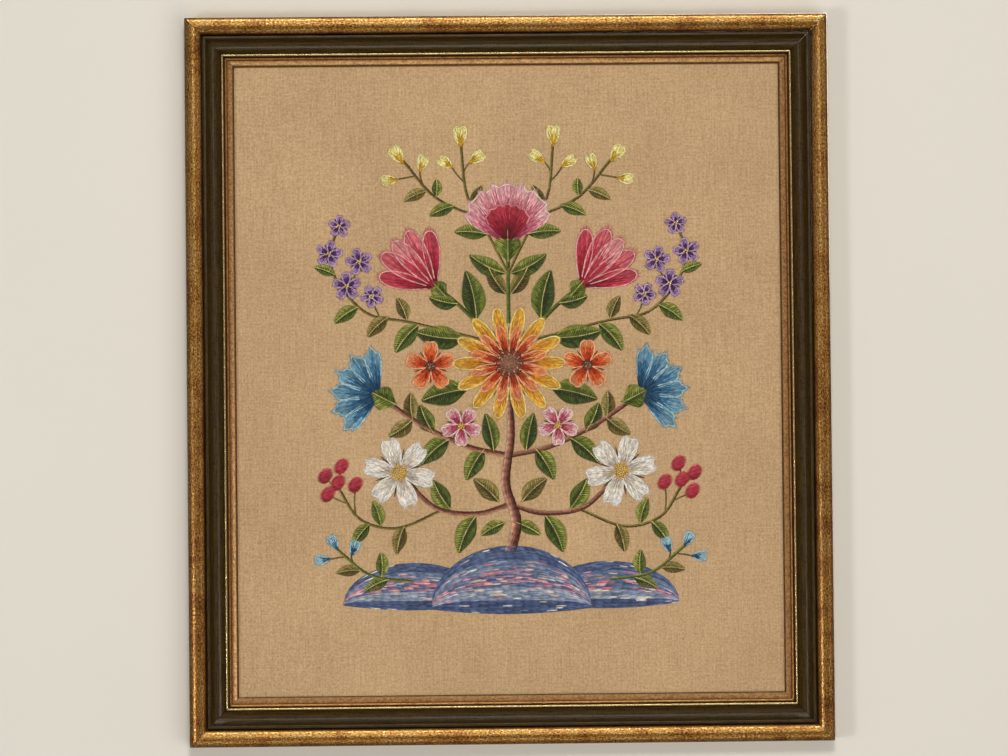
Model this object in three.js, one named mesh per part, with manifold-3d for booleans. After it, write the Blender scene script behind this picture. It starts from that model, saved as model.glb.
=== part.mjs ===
// A linen panel worked in raised wool stitches, stretched flat in a mitred picture frame.
// Millimetres, +Z up. The stitched face looks along -Y and the wall is the plane Y = 0.
// The origin is on the wall side of the top rail, at its middle, where the frame hangs.

import * as THREE from "three";
import { mergeVertices } from "three/addons/utils/BufferGeometryUtils.js";
import Module from "manifold-3d";

// Driving dimensions.
const SIGHT = { width: 472, height: 545 }; // linen that shows inside the frame
const RAIL_WIDTH = 42; // from the frame's outer edge to the sight edge
const CLEARANCE = 0.3; // between pieces that touch
const MITRE_CUT_BACK = 0.22; // on each rail's end, which leaves the clearance across the mitre
const ARC_STEPS = 10; // facets on each round stretch of a moulding

// Insets run from the frame's outer edge towards the picture, heights from the wall to the viewer.
const GILT = { width: 14.5, spring: 20.5, crown: 6.5 }; // outer half-round bead
const DARK = {
  ledge: { height: 14.5, end: 15.9 }, // shadow line beside the bead
  fillet: { height: 21.5, end: 18.3, round: 0.5 },
  hollow: { start: 18.7, startHeight: 19.9, dipInset: 22.6, dipHeight: 9.2, end: 31, endHeight: 17.8 },
  rabbet: { inset: 23.5, height: 12.4 },
};
const SLIP = {
  back: 9,
  bead: { radius: 0.9, spring: 17.3, crown: 1 },
  groove: { start: 33.3, startHeight: 13.6, dipInset: 33.8, dipHeight: 12.2, end: 34.2, endHeight: 13.1 },
  ridge: { start: 34.4, end: 35.5, height: 14 },
  bevel: { start: 36.5, startHeight: 11.3, crest: 40.4, crestHeight: 12.6, sightHeight: 10.9 },
};
const LINEN_THICKNESS = 1.2;
const BOARD_THICKNESS = 3;

// Sizes that follow from those.
const OUTER = { width: SIGHT.width + 2 * RAIL_WIDTH, height: SIGHT.height + 2 * RAIL_WIDTH };
const DARK_START = GILT.width + CLEARANCE;
const HANG_INSET = (DARK_START + DARK.rabbet.inset) / 2;
const CENTRE_Z = HANG_INSET - OUTER.height / 2;
const PANEL_INSET = DARK.rabbet.inset + CLEARANCE;
const LINEN_FACE = SLIP.back - CLEARANCE;
const BOARD_FACE = LINEN_FACE - LINEN_THICKNESS - CLEARANCE;
const PANEL = { width: OUTER.width - 2 * PANEL_INSET, height: OUTER.height - 2 * PANEL_INSET };

const FINISH = {
  gilt: new THREE.MeshStandardMaterial({ color: 0xa8763a, roughness: 0.42, metalness: 0.75 }),
  dark: new THREE.MeshStandardMaterial({ color: 0x3b2f1b, roughness: 0.45, metalness: 0 }),
  slip: new THREE.MeshStandardMaterial({ color: 0xb58b58, roughness: 0.45, metalness: 0.6 }),
  linen: new THREE.MeshStandardMaterial({ color: 0xbc9872, roughness: 0.95, metalness: 0 }),
  board: new THREE.MeshStandardMaterial({ color: 0x7b5b3d, roughness: 0.85, metalness: 0 }),
};

// Moulding sections, drawn as shapes of inset and height.

function giltSection() {
  const section = new THREE.Shape();
  section.moveTo(0, 0);
  section.lineTo(GILT.width, 0);
  section.lineTo(GILT.width, GILT.spring);
  section.absellipse(GILT.width / 2, GILT.spring, GILT.width / 2, GILT.crown, 0, Math.PI, false, 0);
  section.closePath();
  return section;
}

function darkSection() {
  const { ledge, fillet, hollow, rabbet } = DARK;
  const section = new THREE.Shape();
  section.moveTo(DARK_START, 0);
  section.lineTo(rabbet.inset, 0);
  section.lineTo(rabbet.inset, rabbet.height);
  section.lineTo(hollow.end, rabbet.height);
  section.lineTo(hollow.end, hollow.endHeight);
  section.quadraticCurveTo(hollow.dipInset, hollow.dipHeight, hollow.start, hollow.startHeight);
  section.lineTo(fillet.end, fillet.height - fillet.round);
  section.lineTo(fillet.end - fillet.round, fillet.height);
  section.lineTo(ledge.end + fillet.round, fillet.height);
  section.lineTo(ledge.end, fillet.height - fillet.round);
  section.lineTo(ledge.end, ledge.height);
  section.lineTo(DARK_START, ledge.height);
  section.closePath();
  return section;
}

function slipSection() {
  const { back, bead, groove, ridge, bevel } = SLIP;
  const beadStart = DARK.hollow.end + CLEARANCE;
  const flangeTop = DARK.rabbet.height - CLEARANCE;
  const section = new THREE.Shape();
  section.moveTo(PANEL_INSET, back);
  section.lineTo(RAIL_WIDTH, back);
  section.lineTo(RAIL_WIDTH, bevel.sightHeight);
  section.lineTo(bevel.crest, bevel.crestHeight);
  section.lineTo(bevel.start, bevel.startHeight);
  section.lineTo(ridge.end, ridge.height);
  section.lineTo(ridge.start, ridge.height);
  section.lineTo(groove.end, groove.endHeight);
  section.quadraticCurveTo(groove.dipInset, groove.dipHeight, groove.start, groove.startHeight);
  section.lineTo(beadStart + 2 * bead.radius, bead.spring);
  section.absellipse(beadStart + bead.radius, bead.spring, bead.radius, bead.crown, 0, Math.PI, false, 0);
  section.lineTo(beadStart, flangeTop);
  section.lineTo(PANEL_INSET, flangeTop);
  section.closePath();
  return section;
}

// A rail with mitred ends, made as the top rail: each point of the section is as much shorter than
// the frame's edge as its inset, at both ends.
function railGeometry(section, length, across) {
  const geometry = new THREE.ExtrudeGeometry(section, {
    depth: 1,
    bevelEnabled: false,
    curveSegments: ARC_STEPS,
  });
  const position = geometry.getAttribute("position");
  for (let i = 0; i < position.count; i += 1) {
    const inset = position.getX(i);
    const height = position.getY(i);
    const end = 1 - 2 * position.getZ(i);
    position.setXYZ(i, end * (length / 2 - inset - MITRE_CUT_BACK), -height, across / 2 - inset);
  }
  geometry.computeVertexNormals();
  return geometry;
}

const SIDES = [
  { side: "top", quarterTurns: 0, length: OUTER.width, across: OUTER.height },
  { side: "right", quarterTurns: 1, length: OUTER.height, across: OUTER.width },
  { side: "bottom", quarterTurns: 2, length: OUTER.width, across: OUTER.height },
  { side: "left", quarterTurns: 3, length: OUTER.height, across: OUTER.width },
];

function mouldingGroup(name, section, material) {
  const group = new THREE.Group();
  for (const { side, quarterTurns, length, across } of SIDES) {
    const rail = new THREE.Mesh(railGeometry(section, length, across), material);
    rail.name = `${name}_${side}`;
    rail.rotation.y = (quarterTurns * Math.PI) / 2;
    group.add(rail);
  }
  return group;
}

// The stitched design: a flowering tree on three mounds, the same on both sides of its trunk.
// Places are on the linen's face, x to the right and z up from the middle of the sight opening.
// Angles are degrees from x, and the rows below are the right-hand half.

const LIFT = { sideMound: 0.45, mound: 0.6, stem: 0.55, trunk: 0.75, leaf: 0.68, flower: 0.95, eye: 1.3 };
const PAD_SINK = 0.5; // how far a pad's foot goes into the linen
const PAD_SLOPE = 0.45; // how far its top draws in from its foot

const named = (columns, rows) =>
  rows.map((row) => Object.fromEntries(columns.split(" ").map((column, i) => [column, row[i]])));

const MOUNDS = named("x z halfWidth height", [
  [84, -194, 60, 36],
  [0, -198, 68, 54],
]);

const STEMS = named("width taper route", [
  [4.2, 0.8, [[0, -108], [28, -116], [62, -112], [86, -92]]],
  [2.2, 1.0, [[60, -113], [98, -128], [130, -120], [148, -94]]],
  [4.2, 0.8, [[0, -66], [36, -58], [74, -40], [104, -20]]],
  [3.2, 1.0, [[10, 30], [40, 62], [64, 82]]],
  [2.2, 1.0, [[20, 34], [84, 50], [122, 58], [148, 86], [154, 110], [148, 130]]],
  [2.2, 1.0, [[0, 92], [18, 128], [35, 160], [40, 204]]],
  [2.2, 1.0, [[24, 140], [62, 158], [90, 190]]],
  [2.2, 1.0, [[86, -174], [122, -168], [150, -146]]],
]);

const TRUNK = named("width taper route", [
  [10, 0.55, [[0, -148], [5, -122], [-4, -90], [1, -50], [0, -20]]],
  [3.2, 1.0, [[0, 50], [0, 84], [0, 112]]],
]);

const LEAVES = named("x z aim length width bend", [
  [30, -118, -65, 36, 15, 0.25],
  [52, -112, 60, 30, 14, -0.2],
  [10, -106, 42, 30, 13, 0.2],
  [5, -124, -28, 24, 10, 0.2],
  [92, -126, -75, 26, 11, 0.2],
  [112, -126, 72, 24, 10, 0.2],
  [122, -124, -52, 24, 10, 0.2],
  [14, -62, 78, 34, 13, 0.1],
  [22, -60, -60, 32, 14, 0.2],
  [52, -51, -42, 34, 15, 0.25],
  [66, -46, 66, 28, 13, -0.2],
  [84, -34, -34, 26, 12, -0.2],
  [84, -34, 88, 24, 11, -0.2],
  [36, -8, -14, 42, 19, 0.15],
  [38, 36, 8, 44, 18, -0.2],
  [78, 48, -50, 32, 14, 0.25],
  [88, 52, 66, 22, 10, 0.2],
  [104, 55, -44, 26, 11, 0.25],
  [130, 64, -34, 26, 11, 0.2],
  [150, 92, 20, 20, 8, 0.2],
  [28, 52, 78, 44, 18, 0.2],
  [44, 66, 14, 26, 12, -0.2],
  [2, 92, 28, 36, 14, -0.25],
  [2, 74, 58, 30, 12, -0.2],
  [17, 126, 4, 30, 12, 0.2],
  [32, 152, 122, 20, 8, 0.1],
  [46, 151, -22, 24, 10, 0.2],
  [62, 159, 92, 16, 8, 0.2],
  [70, 164, -24, 22, 9, 0.2],
  [106, -172, -26, 24, 11, 0.2],
  [112, -170, 88, 22, 10, 0.2],
  [130, -164, -6, 22, 9, 0.2],
  [98, -21, 27, 24, 18, 0],
  [54, 72, 48, 18, 13, 0],
]);

const BLOSSOMS = named("x z radius petals turn", [
  [96, -80, 33, 6, 12],
  [68, 12, 23, 5, 90],
  [42, -40, 19, 5, 54],
  [118, 73, 10.5, 5, 134],
  [140, 82, 13, 5, 160],
  [155, 110, 12, 5, 175],
  [129, 103, 12, 5, 149],
  [146, 134, 10, 5, 166],
]);

const FANS = named("x z aim radius spread teeth", [
  [113, -13, 18, 43, 76, 6],
  [63, 80, 48, 53, 52, 5],
]);

const BUDS = named("x z aim length spread", [
  [40, 202, 88, 20, 36],
  [33, 188, 146, 17, 36],
  [47, 184, 34, 16, 36],
  [90, 188, 55, 19, 36],
  [76, 181, 108, 16, 36],
  [95, 174, -4, 16, 36],
  [150, -146, 60, 15, 36],
  [138, -151, 110, 15, 36],
  [156, -154, -4, 15, 36],
]);

const BERRY_RADIUS = 6.4;
const BERRIES = named("x z", [
  [149, -88],
  [158, -98],
  [134, -90],
  [160, -82],
  [146, -74],
]);

const CROWN_FAN = { x: 0, z: 118, aim: 90, radius: 54, spread: 64, teeth: 9 };
const CROWN_CUP = { x: 0, z: 102, aim: 90, length: 29, width: 20, bend: 0 };
const CENTRE_FLOWER = { x: 0, z: 14, radius: 49, petals: 14, turn: 0 };
const CENTRE_EYE = { x: 0, z: 14, radius: 13 };

// Outlines of the motifs, counter-clockwise, as points on the linen's face.

const degrees = THREE.MathUtils.degToRad;
const point = (x, z) => new THREE.Vector2(x, z);
const polar = ({ x, z }, angle, radius) => point(x + radius * Math.cos(angle), z + radius * Math.sin(angle));

function disc(centre, radius, sides) {
  return Array.from({ length: sides }, (_, i) => polar(centre, (2 * Math.PI * i) / sides, radius));
}

const LEAF_STEPS = [0.22, 0.55, 0.85];

function leafOutline({ x, z, aim, length, width, bend }) {
  const along = point(Math.cos(degrees(aim)), Math.sin(degrees(aim)));
  const out = point(-along.y, along.x);
  const at = (t, side) => {
    const half = (width / 2) * Math.sin(Math.PI * t ** 0.85) ** 0.8;
    return point(x, z)
      .addScaledVector(along, length * t)
      .addScaledVector(out, bend * length * t * (1 - t) + side * half);
  };
  return [
    at(0, 0),
    ...LEAF_STEPS.map((t) => at(t, -1)),
    at(1, 0),
    ...LEAF_STEPS.toReversed().map((t) => at(t, 1)),
  ];
}

const PETAL_STEPS = [
  { across: -0.5, reach: 0.42 },
  { across: -0.22, reach: 0.98 },
  { across: 0.22, reach: 0.98 },
];

function blossomOutline({ x, z, radius, petals, turn }) {
  const outline = [];
  for (let petal = 0; petal < petals; petal += 1) {
    for (const { across, reach } of PETAL_STEPS) {
      outline.push(polar({ x, z }, degrees(turn + (360 * (petal + across)) / petals), radius * reach));
    }
  }
  return outline;
}

const TOOTH_DIP = 0.13;

function fanOutline({ x, z, aim, radius, spread, teeth }) {
  const outline = [point(x, z)];
  for (let step = 0; step <= 2 * teeth; step += 1) {
    const angle = degrees(aim - spread + (spread * step) / teeth);
    outline.push(polar({ x, z }, angle, radius * (step % 2 ? 1 : 1 - TOOTH_DIP)));
  }
  return outline;
}

const BUD_STEPS = [
  { across: -0.8, reach: 0.6 },
  { across: -0.4, reach: 0.95 },
  { across: 0, reach: 0.88 },
  { across: 0.4, reach: 0.95 },
  { across: 0.8, reach: 0.6 },
];

function budOutline({ x, z, aim, length, spread }) {
  const rim = BUD_STEPS.map(({ across, reach }) => polar({ x, z }, degrees(aim + across * spread), length * reach));
  return [point(x, z), ...rim];
}

const MOUND_STEPS = 12;

function moundOutline({ x, z, halfWidth, height }) {
  return Array.from({ length: MOUND_STEPS + 1 }, (_, i) => {
    const angle = (Math.PI * i) / MOUND_STEPS;
    return point(x + halfWidth * Math.cos(angle), z + height * Math.sin(angle));
  });
}

const STEM_STEP = 22; // length of a straight stretch of a stem

function stemOutline({ width, taper, route }) {
  const curve = new THREE.SplineCurve(route.map(([x, z]) => point(x, z)));
  const steps = Math.max(2, Math.round(curve.getLength() / STEM_STEP));
  const edge = (side) =>
    Array.from({ length: steps + 1 }, (_, i) => {
      const t = i / steps;
      const tangent = curve.getTangentAt(t);
      const half = (side * width * (1 - (1 - taper) * t)) / 2;
      return curve.getPointAt(t).add(point(-tangent.y * half, tangent.x * half));
    });
  return [...edge(-1), ...edge(1).reverse()];
}

const mirrored = (outline) => outline.map(({ x, y }) => point(-x, y)).reverse();

// A low pad with sloping sides and a flat top over an outline on the linen's face.
function padGeometry(outline, lift) {
  const middle = outline.reduce((sum, p) => sum.add(p), point(0, 0)).divideScalar(outline.length);
  const drawnIn = outline.map((p) => {
    const toMiddle = middle.clone().sub(p);
    return p.clone().addScaledVector(toMiddle, Math.min(0.3, PAD_SLOPE / toMiddle.length()));
  });
  const count = outline.length;
  const position = [];
  const ring = (points, height) => points.forEach((p) => position.push(p.x, -height, p.y));
  ring(outline, LINEN_FACE - PAD_SINK);
  ring(drawnIn, LINEN_FACE + lift);
  const index = [];
  for (let i = 0; i < count; i += 1) {
    const next = (i + 1) % count;
    index.push(i, next, next + count, i, next + count, i + count);
  }
  for (const [a, b, c] of THREE.ShapeUtils.triangulateShape(outline, [])) index.push(c, b, a);
  for (const [a, b, c] of THREE.ShapeUtils.triangulateShape(drawnIn, [])) {
    index.push(a + count, b + count, c + count);
  }
  const geometry = new THREE.BufferGeometry();
  geometry.setAttribute("position", new THREE.Float32BufferAttribute(position, 3));
  geometry.setIndex(index);
  return geometry;
}

function stitchedPads() {
  const pads = [];
  const add = (outline, lift) => pads.push(padGeometry(outline, lift));
  const addPair = (outline, lift) => {
    add(outline, lift);
    add(mirrored(outline), lift);
  };
  const [sideMound, mound] = MOUNDS;
  addPair(moundOutline(sideMound), LIFT.sideMound);
  add(moundOutline(mound), LIFT.mound);
  for (const stem of STEMS) addPair(stemOutline(stem), LIFT.stem);
  for (const stem of TRUNK) add(stemOutline(stem), LIFT.trunk);
  for (const leaf of LEAVES) addPair(leafOutline(leaf), LIFT.leaf);
  for (const fan of FANS) addPair(fanOutline(fan), LIFT.flower);
  for (const blossom of BLOSSOMS) addPair(blossomOutline(blossom), LIFT.flower);
  for (const bud of BUDS) addPair(budOutline(bud), LIFT.flower);
  for (const berry of BERRIES) addPair(disc(berry, BERRY_RADIUS, 7), LIFT.flower);
  add(fanOutline(CROWN_FAN), LIFT.flower);
  add(leafOutline(CROWN_CUP), LIFT.eye);
  add(blossomOutline(CENTRE_FLOWER), LIFT.flower);
  add(disc(CENTRE_EYE, CENTRE_EYE.radius, 12), LIFT.eye);
  return pads;
}

// Joining: the linen and its stitches are one solid.

const wasm = await Module();
wasm.setup();

function solidOf(geometry) {
  const bare = geometry.clone();
  bare.deleteAttribute("normal");
  bare.deleteAttribute("uv");
  const merged = mergeVertices(bare);
  return new wasm.Manifold(
    new wasm.Mesh({
      numProp: 3,
      vertProperties: merged.getAttribute("position").array,
      triVerts: new Uint32Array(merged.index.array),
    }),
  );
}

function geometryOf(solid) {
  const { vertProperties, triVerts } = solid.getMesh();
  const geometry = new THREE.BufferGeometry();
  geometry.setAttribute("position", new THREE.BufferAttribute(vertProperties, 3));
  geometry.setIndex(new THREE.BufferAttribute(triVerts, 1));
  geometry.computeVertexNormals();
  return geometry;
}

function sheetGeometry(face, thickness) {
  const sheet = new THREE.BoxGeometry(PANEL.width, thickness, PANEL.height);
  return sheet.translate(0, -face + thickness / 2, 0);
}

function linenPanel() {
  const linen = solidOf(sheetGeometry(LINEN_FACE, LINEN_THICKNESS));
  const stitched = stitchedPads().reduce((whole, pad) => whole.add(solidOf(pad)), linen);
  const mesh = new THREE.Mesh(geometryOf(stitched), FINISH.linen);
  mesh.name = "linen_panel";
  return mesh;
}

function backingBoard() {
  const mesh = new THREE.Mesh(sheetGeometry(BOARD_FACE, BOARD_THICKNESS), FINISH.board);
  mesh.name = "backing_board";
  return mesh;
}

// The whole, hung by the wall side of its top rail.

const framedPanel = new THREE.Group();
framedPanel.add(
  mouldingGroup("gilt_rail", giltSection(), FINISH.gilt),
  mouldingGroup("dark_rail", darkSection(), FINISH.dark),
  mouldingGroup("slip_rail", slipSection(), FINISH.slip),
  linenPanel(),
  backingBoard(),
);
framedPanel.position.z = CENTRE_Z;

export default framedPanel;
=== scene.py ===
"""Looks of a framed embroidered linen panel: its mouldings, stretched linen, wool stitches and stage.

Meshes are in metres, in the frame's own axes. Tables and names that end in _MM are in millimetres.
Places of the stitched design are measured on the linen's face, x to the right and z up from its middle.
"""

import math
from collections import namedtuple

import bpy
import numpy as np
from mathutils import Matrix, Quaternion, Vector


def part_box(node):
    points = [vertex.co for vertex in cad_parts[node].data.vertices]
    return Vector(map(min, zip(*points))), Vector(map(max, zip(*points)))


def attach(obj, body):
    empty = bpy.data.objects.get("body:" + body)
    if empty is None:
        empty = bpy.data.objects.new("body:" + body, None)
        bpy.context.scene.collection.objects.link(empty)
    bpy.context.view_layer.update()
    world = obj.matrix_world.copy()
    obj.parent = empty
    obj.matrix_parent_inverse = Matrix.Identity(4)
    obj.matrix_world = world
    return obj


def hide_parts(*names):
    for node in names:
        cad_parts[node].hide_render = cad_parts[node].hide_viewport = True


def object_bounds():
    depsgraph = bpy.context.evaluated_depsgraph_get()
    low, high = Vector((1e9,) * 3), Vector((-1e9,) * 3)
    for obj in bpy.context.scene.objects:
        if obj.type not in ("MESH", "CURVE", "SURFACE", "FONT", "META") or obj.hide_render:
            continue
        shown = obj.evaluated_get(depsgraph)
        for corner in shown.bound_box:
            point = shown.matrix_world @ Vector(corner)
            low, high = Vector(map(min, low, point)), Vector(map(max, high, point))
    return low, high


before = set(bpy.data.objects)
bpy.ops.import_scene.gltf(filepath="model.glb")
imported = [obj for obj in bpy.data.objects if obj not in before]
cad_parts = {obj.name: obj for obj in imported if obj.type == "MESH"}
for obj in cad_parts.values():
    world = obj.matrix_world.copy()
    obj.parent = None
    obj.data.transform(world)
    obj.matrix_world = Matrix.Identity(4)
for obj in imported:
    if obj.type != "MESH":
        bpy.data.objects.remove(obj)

bl_info = {
    "name": "Framed Embroidered Linen",
    "version": (1, 0, 0),
    "blender": (4, 5, 0),
    "location": "3D View > Sidebar > Embroidery",
    "description": "Builds a linen panel worked in wool stitches, stretched in a mitred picture frame",
    "category": "Add Mesh",
}

MM = 0.001
BODY = "root"
CAD_BOX = [list(corner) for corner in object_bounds()]

# Sizes read from the frame.
OUTER_WIDTH_MM = (CAD_BOX[1][0] - CAD_BOX[0][0]) / MM
OUTER_HEIGHT_MM = (CAD_BOX[1][2] - CAD_BOX[0][2]) / MM
CENTRE_Z_MM = (CAD_BOX[1][2] + CAD_BOX[0][2]) / 2 / MM
LINEN_LOW, LINEN_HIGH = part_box("linen_panel")
BOARD_LOW, BOARD_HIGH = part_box("backing_board")
LINEN_WIDTH_MM = (LINEN_HIGH.x - LINEN_LOW.x) / MM
LINEN_HEIGHT_MM = (LINEN_HIGH.z - LINEN_LOW.z) / MM
LINEN_BACK_MM = -LINEN_HIGH.y / MM
LINEN_THICKNESS_MM = 1.2
LINEN_FACE_MM = LINEN_BACK_MM + LINEN_THICKNESS_MM


def linear(hex_code):
    """Linear RGB of an sRGB hex colour."""
    parts = [int(hex_code[i:i + 2], 16) / 255 for i in (0, 2, 4)]
    return tuple(p / 12.92 if p <= 0.04045 else ((p + 0.055) / 1.055) ** 2.4 for p in parts)


def opaque(hex_code):
    """The same colour with alpha, as colour sockets and ramps take it."""
    return (*linear(hex_code), 1.0)


def fill(tree, made, inputs):
    """Sets inputs by name or place, or links them to a socket or to a node's first output in use."""
    for key, value in inputs.items():
        if isinstance(value, bpy.types.Node):
            value = next(output for output in value.outputs if output.enabled)
        if isinstance(value, bpy.types.NodeSocket):
            tree.links.new(value, made.inputs[key])
        else:
            made.inputs[key].default_value = value


def node(tree, kind, inputs=None, **settings):
    """Adds a node, applies its settings and fills its inputs.
    A Mix node's go by place: 0 is its factor, 2 and 3 are its numbers, 6 and 7 its colours."""
    made = tree.nodes.new(kind)
    for name, value in settings.items():
        setattr(made, name, value)
    fill(tree, made, inputs or {})
    return made


def per_mm(size_mm):
    """Scale of a pattern whose marks are about this size."""
    return 1 / (size_mm * MM)


def set_ramp(ramp_node, stops):
    """Gives a colour ramp its (place, colour) stops."""
    elements = ramp_node.color_ramp.elements
    while len(elements) < len(stops):
        elements.new(1.0)
    for element, (place, colour) in zip(elements, stops):
        element.position = place
        element.color = colour


def new_material(name):
    """An empty node material with its Principled shader and output; returns the material, tree and shader."""
    material = bpy.data.materials.new(name)
    material.use_nodes = True
    tree = material.node_tree
    tree.nodes.clear()
    shader = node(tree, "ShaderNodeBsdfPrincipled")
    node(tree, "ShaderNodeOutputMaterial", {"Surface": shader})
    return material, tree, shader


def table(columns, rows):
    """Rows with named columns."""
    row = namedtuple("row", columns)
    return [row(*values) for values in rows]


def placed(name, data):
    """The object of a mesh, lamp or camera, linked to the scene."""
    made = bpy.data.objects.new(name, data)
    bpy.context.scene.collection.objects.link(made)
    return made


def new_piece(name, vertices_mm, faces, sharp_deg, material):
    """A smooth-shaded mesh whose hard edges stay sharp."""
    mesh = bpy.data.meshes.new(name)
    mesh.from_pydata((vertices_mm * MM).tolist(), [], faces)
    mesh.polygons.foreach_set("use_smooth", [True] * len(mesh.polygons))
    mesh.set_sharp_from_angle(angle=math.radians(sharp_deg))
    mesh.materials.append(material)
    mesh.validate()
    return placed(name, mesh)


def colour_property(name, description, hex_code):
    """A colour, given in sRGB."""
    return bpy.props.FloatVectorProperty(
        name=name, description=description, subtype="COLOR", size=3, min=0.0, max=1.0,
        default=linear(hex_code),
    )


def length_property(name, description, millimetres):
    """A length, given in millimetres and kept in metres."""
    return bpy.props.FloatProperty(
        name=name, description=description, subtype="DISTANCE", unit="LENGTH", min=0.0,
        default=millimetres * MM,
    )


def angle_property(name, description, degrees):
    """An angle, given in degrees and kept in radians."""
    return bpy.props.FloatProperty(
        name=name, description=description, subtype="ANGLE", unit="ROTATION", default=math.radians(degrees)
    )


class MouldingSettings(bpy.types.PropertyGroup):
    """Finish of the three mouldings."""

    gold: colour_property("Gold leaf", "Sound gold leaf under its toning", "aa6c2a")
    bole: colour_property("Bole", "Red-brown clay where the leaf is rubbed through", "7a3c1a")
    toning: colour_property("Toning", "Brown glaze that lies in the hollows of the leaf", "42200a")
    black: colour_property("Dark paint", "Olive-black paint of the hollow", "4a360d")
    bronze: colour_property("Bronze gilt", "Bronze gilding of the slip's bevel", "bc8f5e")
    unevenness: length_property(
        "Unevenness", "How far the hand-finished surface strays from its section", 0.12
    )


class LinenSettings(bpy.types.PropertyGroup):
    """Cloth and backing."""

    flax: colour_property("Flax", "Colour of the unbleached linen", "c7a881")
    thread_pitch: length_property("Thread pitch", "From one thread to the next", 1.3)
    slack: length_property("Slack", "How far the stretched cloth swells and dips", 0.12)


class WoolSettings(bpy.types.PropertyGroup):
    """Stitches and knots."""

    strand: length_property("Strand width", "Width of one strand of wool", 1.25)
    loft: length_property("Strand loft", "Height of one strand of wool", 0.95)
    seed: bpy.props.IntProperty(name="Seed", description="Fixes the unevenness of the handwork", default=7)


class StageSettings(bpy.types.PropertyGroup):
    """Wall, floor, lights and camera."""

    wall: colour_property("Wall", "Pale wall behind the frame", "eeeee8")
    floor: colour_property("Floor", "Pale floor below the frame", "e2ded5")
    view_width: length_property("View width", "Width of the view at the linen", 873.5)
    view_distance: length_property("View distance", "From the camera to the linen", 3000)
    sideways: angle_property("Sideways", "How far left of square the camera stands", 1.0)
    below: angle_property("Below", "How far below square the camera stands", 1.2)
    roll: angle_property("Roll", "Tilt of the camera about its own view", 0.57)


# Mouldings.

MITRE_CUT_BACK_MM = 0.22
RAIL_STATIONS = 64

SIDES = table("name quarter_turns length_mm across_mm", [
    ("top", 0, OUTER_WIDTH_MM, OUTER_HEIGHT_MM),
    ("right", 1, OUTER_HEIGHT_MM, OUTER_WIDTH_MM),
    ("bottom", 2, OUTER_WIDTH_MM, OUTER_HEIGHT_MM),
    ("left", 3, OUTER_HEIGHT_MM, OUTER_WIDTH_MM),
])


def arc(centre, radii, start_deg, end_deg, steps):
    """Points of an elliptical arc, as (inset, height)."""
    turns = np.radians(np.linspace(start_deg, end_deg, steps + 1))
    return [(centre[0] + radii[0] * math.cos(t), centre[1] + radii[1] * math.sin(t)) for t in turns]


def hollow(start, dip, end, steps):
    """Points of a quadratic curve from start to end, drawn towards dip."""
    t = np.linspace(0, 1, steps + 1)[:, None]
    curve = (1 - t) ** 2 * np.array(start) + 2 * t * (1 - t) * np.array(dip) + t ** 2 * np.array(end)
    return [tuple(point) for point in curve]


def node_insets(name):
    """Where a top rail starts and ends, in millimetres from the frame's outer edge."""
    low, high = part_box(name)
    return (CAD_BOX[1][2] - high.z) / MM, (CAD_BOX[1][2] - low.z) / MM


BEAD_RISE_MM = 6.5
BACK_EASE_MM = 0.6


def gilt_section():
    """Half-round bead on straight sides, with eased back edges."""
    start, end = node_insets("gilt_rail_top")
    crest = -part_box("gilt_rail_top")[0].y / MM
    radius = (end - start) / 2
    spring = crest - BEAD_RISE_MM
    return [
        (start + BACK_EASE_MM, 0),
        (start, BACK_EASE_MM),
        *arc((start + radius, spring), (radius, BEAD_RISE_MM), 180, 0, steps=30),
        (end, BACK_EASE_MM),
        (end - BACK_EASE_MM, 0),
    ]


FILLET_MM = {"start": 15.9, "end": 18.3, "foot": 14.5, "round": 0.6}
HOLLOW_MM = {"start": (18.7, 19.9), "dip": (22.6, 9.2), "rim": 17.8}
RABBET_MM = {"inset": 23.5, "height": 12.4}


def dark_section():
    """A fillet beside the bead, then a wide hollow rising to the slip; a rabbet behind holds the panel."""
    start, end = node_insets("dark_rail_top")
    crest = -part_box("dark_rail_top")[0].y / MM
    left, right, edge = FILLET_MM["start"], FILLET_MM["end"], FILLET_MM["round"]
    return [
        (start, 0),
        (start, FILLET_MM["foot"]),
        (left, FILLET_MM["foot"]),
        *arc((left + edge, crest - edge), (edge, edge), 180, 90, steps=4),
        *arc((right - edge, crest - edge), (edge, edge), 90, 0, steps=4),
        *hollow(HOLLOW_MM["start"], HOLLOW_MM["dip"], (end, HOLLOW_MM["rim"]), steps=26),
        (end, RABBET_MM["height"]),
        (RABBET_MM["inset"], RABBET_MM["height"]),
        (RABBET_MM["inset"], 0),
    ]


LIP_MM = {"start": 31.3, "radius": 0.9, "spring": 17.3}
GROOVE_MM = {"start": (33.3, 13.6), "dip": (33.8, 12.2), "end": (34.2, 13.1)}
RIDGE_MM = {"centre": (34.1, 11.6), "radii": (2.3, 2.4)}
BEVEL_MM = {"start": (36.5, 11.3), "crest": (40.4, 12.6), "shoulder": (41.4, 12.3), "sight": 10.9}
SLIP_FLANGE_MM = 12.1


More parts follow.
